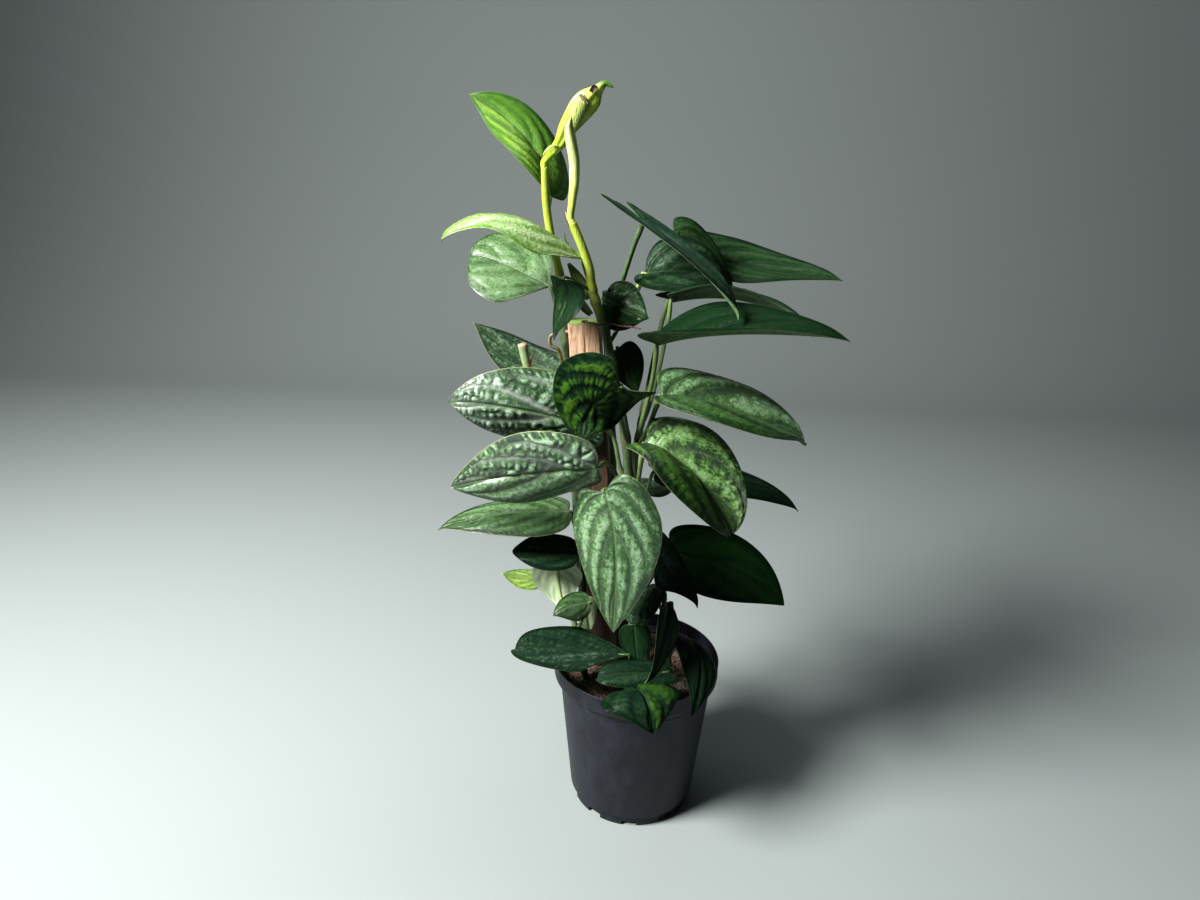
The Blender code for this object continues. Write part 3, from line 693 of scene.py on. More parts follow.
# short side growth: stem and height, route, radius at its foot, radius at its end
SIDE_GROWTH = {
    "cut_stalk": (("left_stem", 448), ((-98, 10, 454), (-112, 9, 464), (-118, 9, 488)), 2.8, 4.5),
    "curled_stalk": (("left_stem", 470), ((-84, 6, 484), (-91, 4, 489), (-91, 3, 497), (-85, 2, 501)),
                     1.9, 1.6),
}


def paint(piece, **shares):
    """Stores a share from 0 to 1 for each point, for the finish to read."""
    for name, values in shares.items():
        layer = piece.data.attributes.new(name, "FLOAT", "POINT")
        layer.data.foreach_set("value", np.asarray(values, dtype=np.float32).ravel())


def paint_rings(piece, sides, **shares):
    """The same from one share a ring, on a tube that a point closes at each end."""
    paint(piece, **{label: np.append(np.repeat(values, sides), (values[0], values[-1]))
                    for label, values in shares.items()})


def painted(tree, name):
    """A share that was painted on the piece."""
    return add_node(tree, "ShaderNodeAttribute", attribute_name=name).outputs["Fac"]


def stem_finish(name, new_skin):
    """Old corky green skin, or new skin where it is fresh, with brown rings and cut ends."""
    finish, tree, shader = new_finish(name, 0.42, specular=0.45)
    freshness, ring, cut = (painted(tree, name) for name in ("fresh", "node", "cut"))
    streaks = mottled(tree, (900, 900, 90), 0.35, 0.7)
    patches = mottled(tree, (130, 130, 60), 0.4, 0.7)
    specks = mottled(tree, (1300, 1300, 800), 0.62, 0.72, 1.0)
    new_tint = blended(tree, times(tree, patches, 0.5), new_skin, NEW_SKIN_GREENER)
    colour = layered(tree, OLD_SKIN, (patches, 1, GREY_SKIN), (freshness, 1, new_tint),
                     (streaks, 0.25, GREY_SKIN), (specks, 0.35, SCAR), (ring, 0.7, CORK),
                     (cut, 1, SCAR))
    dress(tree, shader, colour, mottled(tree, (1000, 1000, 110), output="Noise"), 0.0007,
          scaled(tree, ring, 0.3, 0.4))
    return finish


stem_skin = stem_finish("stem_skin", NEW_SKIN)
stump_skin = stem_finish("stump_skin", STUMP_SKIN)


def rounded_tube(name, route, radii, sides, finish, dome=0.5):
    """A tube along a route, closed by a low dome at its far end."""
    points = swept(route, lambda t: round_section(radii[round(t * (len(route) - 1))], sides))
    faces = ring_faces(len(route), sides)
    way = (route[-1] - route[-2]).normalized()
    capped(points, faces, len(route), sides, route[0], route[-1] + way * (dome * radii[-1]))
    return made_piece(name, np.array(points) * MM, faces, [finish])


def bell(distance, width):
    """1 at no distance, falling away smoothly on both sides over a width."""
    return np.exp(-(distance / width) ** 2)


def rising(values, start, length):
    """A share that is 0 up to a start and goes evenly to 1 over a length."""
    return np.clip((values - start) / length, 0, 1)


def swelling(route, marks, length):
    """How near each point of a route is to a node, from 0 to 1."""
    heights = np.array([spot.z for spot in route])
    return np.max([bell(heights - mark, length) for mark in marks], axis=0)


stem_routes, stem_radii = {}, {}
for name, (first, last, pale_from, points) in STEMS.items():
    route = smooth_route(points, STEM_STEPS)
    marks = NODE_HEIGHTS[name]
    heights = np.array([spot.z for spot in route])
    taper = np.linspace(first, last, len(route)) * STEM_THICKER
    near_node = swelling(route, marks, NODE_LENGTH)
    scar_ring = swelling(route, [mark - SCAR_BELOW for mark in marks], SCAR_WIDTH)
    radii = taper * (1 + NODE_SWELL * near_node) + SCAR_HEIGHT * scar_ring
    stem_routes[name], stem_radii[name] = route, taper
    stem = rounded_tube(name + "_skin", route, radii, STEM_SIDES, stem_skin)
    fresh = rising(heights, pale_from, FADE_LENGTH)
    corky = np.clip(scar_ring + 0.35 * near_node * (1 - fresh), 0, 1)
    paint_rings(stem, STEM_SIDES, fresh=fresh, node=corky, cut=0 * fresh)
    stands_for(stem, "stem_skin", name)


def stem_at(stem, height):
    """Where a stem is at a height: its middle, direction and radius, in mm."""
    route, ways = stem_routes[stem], tangents(stem_routes[stem])
    for index in range(len(route) - 1):
        low, high = route[index], route[index + 1]
        if low.z <= height <= high.z:
            share = (height - low.z) / (high.z - low.z)
            return (low.lerp(high, share), ways[index].lerp(ways[index + 1], share),
                    stem_radii[stem][index])
    raise ValueError("no stem at this height")


for name, (place, points, first, last) in SIDE_GROWTH.items():
    middle, way, radius = stem_at(*place)
    away = Vector(points[0]) - middle
    away = (away - away.project(way)).normalized()
    foot = middle + away * float(radius - 0.6)
    route = smooth_route([foot, foot + away * 2 * first, *points], 12)
    t = np.linspace(0, 1, len(route))
    end_lip = 0.3 * bell(t - GROWTH_LIP, 0.02)
    radii = np.linspace(first, last, len(route)) + end_lip
    stump = name == "cut_stalk"
    growth = rounded_tube(name + "_skin", route, radii, GROWTH_SIDES,
                          stump_skin if stump else stem_skin, dome=0.15)
    pale = 0.5 + 0.3 * t if stump else 0.1 + 0 * t
    cut = rising(t, GROWTH_LIP, 1 - GROWTH_LIP) if stump else 0.3 * t
    paint_rings(growth, GROWTH_SIDES, fresh=pale, node=0.4 * (1 - t), cut=cut)
    stands_for(growth, "stem_skin", name)

# ------------------------------------------------------------------------------ leaves
# Every leaf grew as one piece: a channelled stalk with a swollen joint, and a leathery oval
# blade with a sunken midrib, side veins that sweep to the tip and puckered skin between them.

# a blade's outline and curve
FULLNESS = 1.25                    # spread of the outline before it is tapered
SHOULDER = 0.75                    # how soon it is wide past the heel: less is sooner
TIP_PINCH = 0.3                    # how much the last of the tip is drawn in
BLADE_CROWN = 0.3                  # how far each half curves down, as a share of its width
FOLD_ROUND = 0.04                  # roundness of the fold at the midrib, by half widths
LEAST_LEAN = 0.2                   # a heel nearer to end on than this takes the whole blade's side
BLADE_LIFT = 0.34                  # half the blade's thickness, mm
TIP_CURL = 2.2                     # how far the last tenth of the tip bends down, mm
EDGE_WAVE = 0.9                    # how much the edge waves up and down, mm
RIM_WIDTH = 0.35                   # the pale edge, mm
LARGE_HALF = 36                    # a blade with less half width than this has less relief, mm
SHADED_FROM = 0.6                    # a blade this dark is painted as lying in shade, and has little gloss

# the midrib and the side veins
MIDRIB_WIDTH, MIDRIB_NARROWS, MIDRIB_DEPTH = 1.1, 0.6, 0.75   # half of it at the heel, mm
HOLLOW_WIDTH, HOLLOW_NARROWS, HOLLOW_DEPTH = 3.2, 1.6, 0.4    # the hollow it lies in, mm
KEEL_HEIGHT = 1.05                 # of the midrib on the underside, mm
SIDE_VEINS = 3                     # on each half of a large blade
VEIN_SLANT = 1.5                   # how far forward the side veins leave the midrib
VEIN_CURVE = 1.4                   # how the rows of points bend on the way to the edge
VEIN_SWEEP = 0.95                  # how far the veins bend on towards the tip, as a turn
VEIN_HUG = 0.1                     # how closely they run along the edge at last
VEIN_WANDER = 0.035                # how unevenly they run, as a turn
VEIN_WIDTH, VEIN_DEPTH = 0.55, 0.3   # mm
EDGE_VEIN_AT = 0.82                # the vein that joins them along the edge, by half widths
EDGE_VEIN_WIDTH, EDGE_VEIN_DEPTH = 0.9, 0.35   # mm
SMOOTH_SHARE = 0.065               # half the smooth strip along a side vein, by half widths

# the skin between two side veins, which stands up and is puckered
SWELL = 2.2                        # its height, mm
SWELL_LEAN = 1.35                  # how steeply it drops to the outer vein
SWELL_REACH = 13                   # veins closer together than this raise less skin, mm
PUCKER = 6.8                       # length of a pucker, mm
LADDER_BELOW = 0.6                 # puckers finer than this cross a band as narrow rungs
BLISTER_HEIGHT, CREASE_DEPTH = 1.7, 0.7   # mm
CLOSE_VEINS = 6                    # veins closer than this leave no room for blisters, mm
LEAST_TURN, MOST_TURN = 0.01, 3.13   # the ends of the outline that blisters are kept inside
EDGE_BAND = (0.8, 0.08)            # where the band along the edge starts, and how soon
UNEVENNESS = 0.2                   # of the skin everywhere, mm
RIPPLE_WAVES = 7                   # how many waves make it up

# name: (stem, height), heel, middle, tip, width, face, fold, lobe, taper where it is blunt
LEAVES = {
    "top_leaf": (("left_stem", 582), (-96, 40, 618), (-121, 62, 667), (-176, 74, 705),
        71, (0.82, -0.53, -0.24), 0.35, 0.02),
    "arching_young_leaf": (("front_stem", 534), (-62, -13, 571), (-128, -30, 606), (-176, -55, 587),
        68, (-0.26, -0.17, 0.95), -0.14, -0.06),
    "silver_leaf_high": (("left_stem", 520), (-95, 24, 540), (-148, 39, 560), (-174, 47, 561),
        88, (0.35, -0.67, 0.65), 0.24, -0.06),
    "hanging_leaf_at_post": (("front_stem", 545), (-76, -29, 554), (-72, -26, 533), (-84, -44, 506),
        40, (-0.59, -0.65, 0.47), 0.29, 0.12),
    "dark_leaf_at_post": (("back_stem", 496), (-43, 12, 531), (-22, 6, 524), (-3, -2, 518),
        46, (0, -0.98, 0.15), 0.1, 0.04),
    "leaf_behind_post": (("back_stem", 440), (-30, 26, 483), (-20, 22, 466), (-10, 16, 442),
        36, (-0.1, -0.9, 0.3), 0.1, 0.06),
    "high_right_leaf": (("back_stem", 515), (-9, 20, 598), (41, -21, 565), (76, -40, 527),
        58, (0.31, 0.04, 0.95), 0.41, 0.33),
    "cupped_right_leaf": (("back_stem", 505), (-8, 60, 549), (32, 48, 554), (71, 56, 546),
        72, (0.65, -0.55, 0.53), 0.62, 0.03),
    "tucked_right_leaf": (("back_stem", 485), (18, 79, 588), (43, 75, 575), (81, 69, 528),
        50, (0.3, -0.66, 0.68), 0.1, 0.04),
    "far_right_leaf": (("right_stem", 437), (39, 107, 566), (103, 109, 550), (185, 90, 546),
        75, (0.39, -0.45, 0.8), 0.47, 0.08),
    "thin_right_leaf": (("right_stem", 418), (19, 22, 531), (87, 29, 532), (146, -2, 509),
        59, (-0.06, 0.2, 0.98), 0.59, 0.11),
    "long_right_leaf": (("right_stem", 404), (7, -8, 497), (69, -39, 515), (163, -63, 519),
        69, (0.31, -0.31, 0.9), 0.8, 0.06),
    "behind_left_leaf": (("left_stem", 440), (-74, 34, 454), (-125, 36, 469), (-168, 34, 502),
        52, (-0.1, -0.6, 0.8), 0.1, 0.06),
    "silver_left_leaf": (("front_stem", 372), (-39, -19, 417), (-126, -39, 441), (-180, -35, 441),
        73, (-0.26, -0.96, 0.04), -0.15, 0.06),
    "heart_leaf": (("front_stem", 408), (-23, -74, 473), (-47, -63, 453), (-56, -74, 423),
        83, (-0.19, -0.67, -0.72), -0.07, 0.22),
    "upper_left_leaf": (("front_stem", 350), (-42, -63, 396), (-112, -60, 385), (-177, -51, 366),
        81, (-0.89, -0.34, -0.31), 0.08, 0.05),
    "lower_left_leaf": (("left_stem", 298), (-71, -10, 329), (-133, -20, 328), (-196, -30, 314),
        58, (-0.2, -0.35, 0.9), 0.1, 0.04),
    "front_leaf": (("front_stem", 340), (-35, -67, 375), (-23, -77, 326), (-23, -90, 246),
        93, (-0.22, -0.77, -0.6), 0.2, 0.18),
    "broad_right_leaf": (("right_stem", 392), (12, -39, 457), (67, -39, 448), (142, -35, 418),
        89, (0.29, -0.14, 0.95), 0.52, 0.1, 0.1),
    "silver_right_leaf": (("front_stem", 330), (0, -63, 420), (37, -78, 405), (78, -95, 353),
        84, (-0.39, 0.05, 0.92), 0.6, 0.13, 0.25),
    "behind_right_leaf": (("right_stem", 318), (11, 24, 361), (91, 40, 350), (159, 40, 320),
        52, (0.2, -0.3, 0.9), 0.15, 0.06),
    "shaded_right_leaf": (("right_stem", 238), (32, 16, 277), (97, 10, 262), (144, -10, 238),
        71, (-0.2, -0.85, 0.45), 0, 0.08),
    "small_bluish_leaf": (("front_stem", 272), (15, -48, 313), (32, -27, 275), (57, -50, 256),
        48, (0.68, -0.57, 0.46), 0.24, 0.08),
    "small_left_leaf": (("left_stem", 255), (-61, -9, 285), (-100, -15, 288), (-128, -11, 284),
        41, (-0.2, -0.6, 0.78), 0.17, 0.01),
    "pale_left_leaf": (("left_stem", 222), (-98, 20, 240), (-122, 18, 239), (-143, 16, 244),
        28, (-0.2, -0.4, 0.9), 0.1, 0.06),
    "pale_upturned_leaf": (("low_left_stem", 214), (-83, 6, 265), (-83, 4, 244), (-80, 0, 217),
        52, (0, 0.95, 0.2), 0.1, 0.06),
    "pale_drooping_leaf": (("left_stem", 222), (-53, -7, 234), (-51, -7, 215), (-48, -9, 195),
        20, (0.2, -0.9, 0.3), 0.4, 0.04),
    "curled_left_leaf": (("low_left_stem", 200), (-48, -28, 241), (-67, -36, 240), (-83, -42, 232),
        30, (-0.2, -0.75, 0.65), -0.3, 0.06),
    "rim_leaf_left": (("front_stem", 160), (-9, -47, 196), (-89, -56, 204), (-120, -52, 198),
        57, (0.05, -0.25, 0.97), 0.38, -0.11),
    "rim_leaf_middle": (("low_right_stem", 168), (31, -50, 181), (-18, -76, 194), (-37, -76, 187),
        34, (-0.13, -0.37, 0.92), 0.17, 0.12),
    "rim_leaf_front": (("low_right_stem", 152), (-2, -78, 180), (10, -106, 189), (19, -125, 165),
        79, (0.33, -0.79, 0.52), 0.11, 0.11),
    "small_silver_leaf": (("low_right_stem", 225), (17, -20, 260), (-1, -57, 248), (7, -57, 233),
        42, (-0.52, -0.84, -0.14), 0.09, 0.05),
    "small_dark_leaf": (("low_right_stem", 182), (-4, -32, 220), (-1, -36, 199), (2, -43, 182),
        32, (-0.04, -0.95, 0.32), 0.11, 0.04),
    "edge_on_leaf": (("low_right_stem", 215), (26, -41, 254), (24, -69, 232), (11, -86, 190),
        45, (0.85, -0.51, 0.12), 0.48, 0.07),
    "rim_leaf_right": (("low_right_stem", 185), (50, -7, 194), (62, -48, 192), (55, -89, 160),
        51, (0.44, -0.86, 0.25), 0.13, 0.07),
    "back_leaf_high": (("back_stem", 410), (-48, 64, 446), (-62, 98, 446), (-72, 132, 420),
        62, (-0.2, 0.5, 0.85), 0.15, 0.06),
    "back_leaf_middle": (("back_stem", 285), (-6, 62, 322), (6, 96, 322), (16, 130, 296),
        60, (0.2, 0.5, 0.85), 0.15, 0.06),
    "back_leaf_low": (("back_stem", 185), (-26, 64, 214), (-36, 94, 216), (-42, 124, 200),
        48, (-0.2, 0.5, 0.85), 0.15, 0.06),
}
PALE_LEAVES = ("pale_upturned_leaf", "pale_drooping_leaf")
YOUNG_LEAVES = ("top_leaf", "arching_young_leaf", "pale_left_leaf", "pale_drooping_leaf")

# How each blade looks, from 0 to 1. In pairs, for its clockwise half and its other half as seen
# from above with the tip ahead: puckered; silvery, partly its own silver and partly a painted
# highlight; bright between the veins, partly its own yellow-green and partly painted light shining
# through it. Then for both halves: how blue, which is a painted reflection; how dark, partly its
# own older skin and partly painted shade; and the size of its puckers where they are finer.
BLADE_LOOKS = {
    "top_leaf": ((0.1, 0.1), (0, 0), (0.1, 0.4), 0, 0.8),
    "arching_young_leaf": ((0.05, 0.05), (0.3, 0.9), (0.6, 0.1), 0, 0),
    "silver_leaf_high": ((0.04, 0.04), (0.35, 0.3), (0.45, 0.35), 0, 0.3),
    "hanging_leaf_at_post": ((0.3, 0.3), (0, 0), (0.1, 0), 0.2, 0.95),
    "dark_leaf_at_post": ((0.5, 0.5), (0.1, 0.5), (0, 0), 0.1, 0.6),
    "leaf_behind_post": ((0.3, 0.3), (0.1, 0), (0.1, 0), 0, 0.7),
    "high_right_leaf": ((0.3, 0.3), (0.1, 0.1), (0, 0), 0.7, 0.7),
    "cupped_right_leaf": ((0.3, 0.2), (0.1, 0.15), (0, 0), 0.2, 0.85),
    "tucked_right_leaf": ((0.2, 0.2), (0.1, 0.05), (0.1, 0.1), 0.1, 0.85),
    "far_right_leaf": ((0.1, 0.1), (0.05, 0.05), (0.1, 0.1), 0.3, 0.85),
    "thin_right_leaf": ((0.3, 0.3), (0.1, 0.1), (0, 0), 0.3, 0.75),
    "long_right_leaf": ((0.15, 0.15), (0, 0), (0, 0), 0.1, 1.0),
    "behind_left_leaf": ((0.5, 0.5), (0.5, 0.5), (0, 0), 0.2, 0.4),
    "silver_left_leaf": ((0.9, 0.85), (1.0, 1.0), (0, 0), 0, 0),
    "heart_leaf": ((0.6, 0.5), (0, 0.05), (0.45, 0.25), 0.1, 0.92, 0.55),
    "upper_left_leaf": ((1.0, 0.25), (0.9, 0.7), (0.4, 0.45), 0, 0.1),
    "lower_left_leaf": ((0.1, 0.1), (0.3, 0.2), (0.35, 0.15), 0, 0.45),
    "front_leaf": ((0.25, 0.25), (0.5, 0.45), (0.35, 0.15), 0, 0.35),
    "broad_right_leaf": ((0.3, 0.25), (0.1, 0.4), (0.25, 0.25), 0, 0.5),
    "silver_right_leaf": ((0.4, 0.5), (0.05, 0.45), (0.5, 0.9), 0, 0.4, 0.7),
    "behind_right_leaf": ((0.4, 0.4), (0, 0.1), (0, 0), 0.4, 0.9),
    "shaded_right_leaf": ((0.3, 0.3), (0, 0), (0, 0), 0, 1.0),
    "small_bluish_leaf": ((0.5, 0.5), (0.1, 0.1), (0, 0), 0.9, 0.7),
    "small_left_leaf": ((0.4, 0.4), (0.1, 0.1), (0, 0), 0.3, 0.92),
    "pale_left_leaf": ((0.2, 0.2), (0.5, 0.4), (0.8, 0.8), 0, 0),
    "pale_upturned_leaf": ((0.1, 0.1), (1.0, 1.0), (0, 0), 0, 0),
    "pale_drooping_leaf": ((0.1, 0.1), (1.0, 1.0), (0, 0), 0, 0),
    "curled_left_leaf": ((0.3, 0.3), (0.1, 0.1), (0.2, 0.2), 0, 0.5),
    "rim_leaf_left": ((0.6, 0.5), (0.05, 0.25), (0, 0), 0.35, 0.95),
    "rim_leaf_middle": ((0.4, 0.4), (0.05, 0.1), (0, 0.1), 0.5, 0.9),
    "rim_leaf_front": ((0.45, 0.45), (0.05, 0), (0, 0.3), 0.2, 0.97),
    "small_silver_leaf": ((0.8, 0.8), (0.6, 0.5), (0, 0), 0.3, 0.6),
    "small_dark_leaf": ((0.2, 0.2), (0, 0), (0, 0), 0.2, 0.9),
    "edge_on_leaf": ((0.3, 0.3), (0.1, 0.1), (0, 0), 0.3, 0.85),
    "rim_leaf_right": ((0.4, 0.4), (0, 0), (0, 0), 0.4, 0.95),
    "back_leaf_high": ((0.6, 0.5), (0.5, 0.4), (0.2, 0.2), 0, 0.2),
    "back_leaf_middle": ((0.5, 0.6), (0.4, 0.5), (0.2, 0.1), 0, 0.3),
    "back_leaf_low": ((0.4, 0.4), (0.2, 0.2), (0.1, 0.1), 0.2, 0.5),
}


def unit(arrays):
    """Arrays of vectors, each made one long."""
    return arrays / np.linalg.norm(arrays, axis=-1, keepdims=True)


class Blade:
    """A leaf blade's curved sheet, set by its midrib and the way it faces. All in mm."""

    def __init__(self, heel, middle, tip, width, face, fold, lobe, taper=0.9):
        self.heel, self.tip = np.array(heel, float), np.array(tip, float)
        self.pull = 2 * np.array(middle, float) - (self.heel + self.tip) / 2
        self.half = width / 2
        self.face = unit(np.array(face, float))
        self.fold, self.lobe, self.taper = fold, lobe, taper
        middle_way = np.linalg.norm(np.array(middle) - self.heel)
        self.length = middle_way + np.linalg.norm(self.tip - np.array(middle))

    def midrib(self, t):
        """The place on the midrib, from 0 at the heel to 1 at the tip."""
        t = t[..., None]
        ahead = (1 - t) ** 2 * self.heel + 2 * t * (1 - t) * self.pull + t * t * self.tip
        return np.where(t < 0, self.heel + 2 * t * (self.pull - self.heel), ahead)

    def axes(self, t):
        """The blade's directions along, across and up. The side never turns over."""
        t = np.clip(t, 0, 1)[..., None]
        along = unit((1 - t) * (self.pull - self.heel) + t * (self.tip - self.pull))
        level = unit(np.cross(self.tip - self.heel, self.face))
        side = np.cross(along, self.face)
        side = side * np.where((side * level).sum(-1, keepdims=True) < 0, -1, 1)
        faint = np.clip(1 - np.linalg.norm(side, axis=-1, keepdims=True) / LEAST_LEAN, 0, 1)
        side = side + faint * level
        side = unit(side - along * (side * along).sum(-1, keepdims=True))
        return along, side, np.cross(side, along)

    def outline(self, turn):
        """The edge: place along and across at a turn from 0 at the notch to pi at the tip."""
        along = (1 - np.cos(turn)) / 2
        across = (FULLNESS * np.sin(turn) ** SHOULDER * np.cos(turn / 2) ** self.taper
                  * (1 - TIP_PINCH * along ** 6))
        vein = along ** VEIN_SLANT
        lobed = along - self.lobe * np.sin(3 * turn)
        return np.where(turn < math.pi / 3, lobed, along), across, vein

    def sheet(self, turn, share):
        """Place along the midrib and reach to the side, for a turn and a share of the half."""
        along, across, vein = self.outline(turn)
        return vein + (along - vein) * np.abs(share) ** VEIN_CURVE, share * across

    def points(self, place, reach, rise):
        """Points on the sheet, raised from it by a rise in mm."""
        _, side, up = self.axes(place)
        softened = np.sqrt(reach ** 2 + FOLD_ROUND ** 2) - FOLD_ROUND
        bend = self.fold * softened - BLADE_CROWN * reach ** 2
        return (self.midrib(place) + self.half * (reach[..., None] * side + bend[..., None] * up)
                + rise[..., None] * up)


def spread_shares(count):
    """Shares across one half of a blade, closer together at the midrib and at the edge."""
    inner = [0, 0.012, 0.028, 0.05, 0.08]
    return np.array(inner + list(np.linspace(0.12, 0.95, count)) + [0.972, 0.987, 0.996, 1.0])


def vein_turns(draw, count):
    """The turns at which side veins leave the midrib, with some running back into the lobes."""
    even = np.linspace(0.5, 2.3, count)
    step = even[1] - even[0]
    before, after = even[0] - step * np.arange(3, 0, -1), even[-1] + step * np.arange(1, 4)
    marks = np.concatenate([before, even, after])
    return marks + draw.uniform(-0.2, 0.2, len(marks)) * step


def vein_sweep(flat):
    """How far a side vein has bent on towards the tip, at a share of the half."""
    return VEIN_SWEEP * flat ** 1.5 - VEIN_HUG * np.log(1.04 - flat)


def walked_along(place, reach, blade):
    """The places of a row of points in mm, and how far along the row each one is."""
    row = np.stack([place * blade.length, reach * blade.half], 1)
    return row, np.concatenate([[0], np.cumsum(np.hypot(*np.diff(row, axis=0).T))])


def row_of_blisters(blade, low, high, part, side, draw, size):
    """The blisters in one row between two side veins: along, across and band width, in mm."""
    flat = np.linspace(0.04, 0.99, 120)
    sweep = vein_sweep(flat)
    turns = [np.clip(low + (high - low) * at + sweep, LEAST_TURN, MOST_TURN)
             for at in (part, 0.0, 1.0)]
    kept = (turns[0] > LEAST_TURN + 0.05) & (turns[0] < MOST_TURN - 0.05)
    if kept.sum() < 4:
        return np.zeros((0, 3))
    rows = [walked_along(*blade.sheet(turn[kept], flat[kept] * side), blade) for turn in turns]
    (row, walked), (lower, _), (upper, _) = rows
    way = unit(np.gradient(row, axis=0) + 1e-9)
    between = upper - lower
    wide = np.abs(between[:, 0] * way[:, 1] - between[:, 1] * way[:, 0])
    strides = size * draw.uniform(0.55, 1.6, int(walked[-1] / size / 0.55) + 2)
    stops = np.cumsum(strides) - 0.5 * size
    stops = stops[stops < walked[-1]]
    return np.stack([np.interp(stops, walked, row[:, 0]), np.interp(stops, walked, row[:, 1]),
                     np.interp(stops, walked, wide)], 1)


def mixed_halves(pair, share):
    """A value that changes over the midrib from one half's to the other's."""
    lean = 0.5 + 0.5 * np.tanh(share / 0.12)
    return pair[1] + (pair[0] - pair[1]) * lean


def edge_rungs(blade, turn, side, draw, size):
    """The rungs that cross the band along the edge: creases, domes and tones at each turn."""
    around = np.linspace(0.01, math.pi - 0.01, 200)
    _, walked = walked_along(*blade.sheet(around, np.full(200, float(side))), blade)
    stops = np.cumsum(size * draw.uniform(0.6, 1.4, int(walked[-1] / size / 0.6) + 2))
    here = np.interp(turn, around, walked)
    index = np.clip(np.searchsorted(stops, here), 1, len(stops) - 1)
    before, after = here - stops[index - 1], stops[index] - here
    nearest = np.minimum(np.abs(before), np.abs(after))
    tone = draw.uniform(0, 1, len(stops))[index]
    return bell(nearest, 1.1), np.clip(1.6 * nearest / size, 0, 1) ** 0.7, tone


def across_veins(blade, place, reach, phase):
    """The distance between neighbouring side veins at each point, and the way across them."""
    (along_row, along_column), (across_row, across_column), (phase_row, phase_column) = (
        np.gradient(values) for values in (place * blade.length, reach * blade.half, phase))
    area = along_row * across_column - along_column * across_row
    area = np.where(np.abs(area) < 1e-6, 1e-6, area)
    slope = np.stack([phase_row * across_column - phase_column * across_row,
                      phase_column * along_row - phase_row * along_column], -1) / area[..., None]
    steepness = np.maximum(np.linalg.norm(slope, axis=-1), 0.02)
    return 1 / steepness, slope / steepness[..., None]


def ripple(place, reach, blade, draw, size):
    """Uneven skin: a smooth random height from -1 to 1 with bumps of about a given size in mm."""
    height = np.zeros_like(place)
    for _ in range(RIPPLE_WAVES):
        way, pitch = draw.uniform(0, 2 * math.pi), size * draw.uniform(0.8, 1.7)
        height += np.sin(2 * math.pi / pitch * (place * blade.length * math.cos(way)
                                                + reach * blade.half * math.sin(way))
                         + draw.uniform(0, 6))
    return height / (RIPPLE_WAVES / 2)


def band_blisters(blade, low, high, side, draw, size, two_rows):
    """The blisters between two side veins: in two rows where the veins are far apart."""
    wide_rows = [row_of_blisters(blade, low, high, part, side, draw, size) for part in (0.3, 0.7)]
    narrow_row = row_of_blisters(blade, low, high, 0.5, side, draw, 0.85 * size)
    return np.vstack([*(row[row[:, 2] > two_rows] for row in wide_rows),
                      narrow_row[narrow_row[:, 2] <= two_rows]])


def blistered_skin(cells, spots, across, stretch, draw, size):
    """Creases between blisters, their domes and their tones, at spots in mm on one band."""
    count = len(cells)
    middles = cells[:, :2] + draw.normal(0, 0.13 * size, (count, 2))
    breadth, depth = draw.uniform(0.75, 1.25, count), draw.uniform(0.25, 1, count)
    away = spots[:, None, :] - middles[None, :, :]
    athwart = np.einsum("ijk,ik->ij", away, across)
    along = np.sqrt(np.maximum((away ** 2).sum(-1) - athwart ** 2, 0))
    reached = np.hypot(along, stretch * athwart) / breadth
    order = np.argsort(reached, axis=1)[:, :2]
    nearest, second = np.take_along_axis(reached, order, 1).T
    shallower = np.minimum(depth[order[:, 0]], depth[order[:, 1]])
    crease = 1.3 * shallower * bell(second - nearest, 1.3)
    within = np.clip((second - nearest) / (0.6 * size), 0, 1) ** 0.75
    dome = within * (0.35 + 0.65 * depth[order[:, 0]])
    return crease, dome, draw.uniform(0, 1, count)[order[:, 0]]


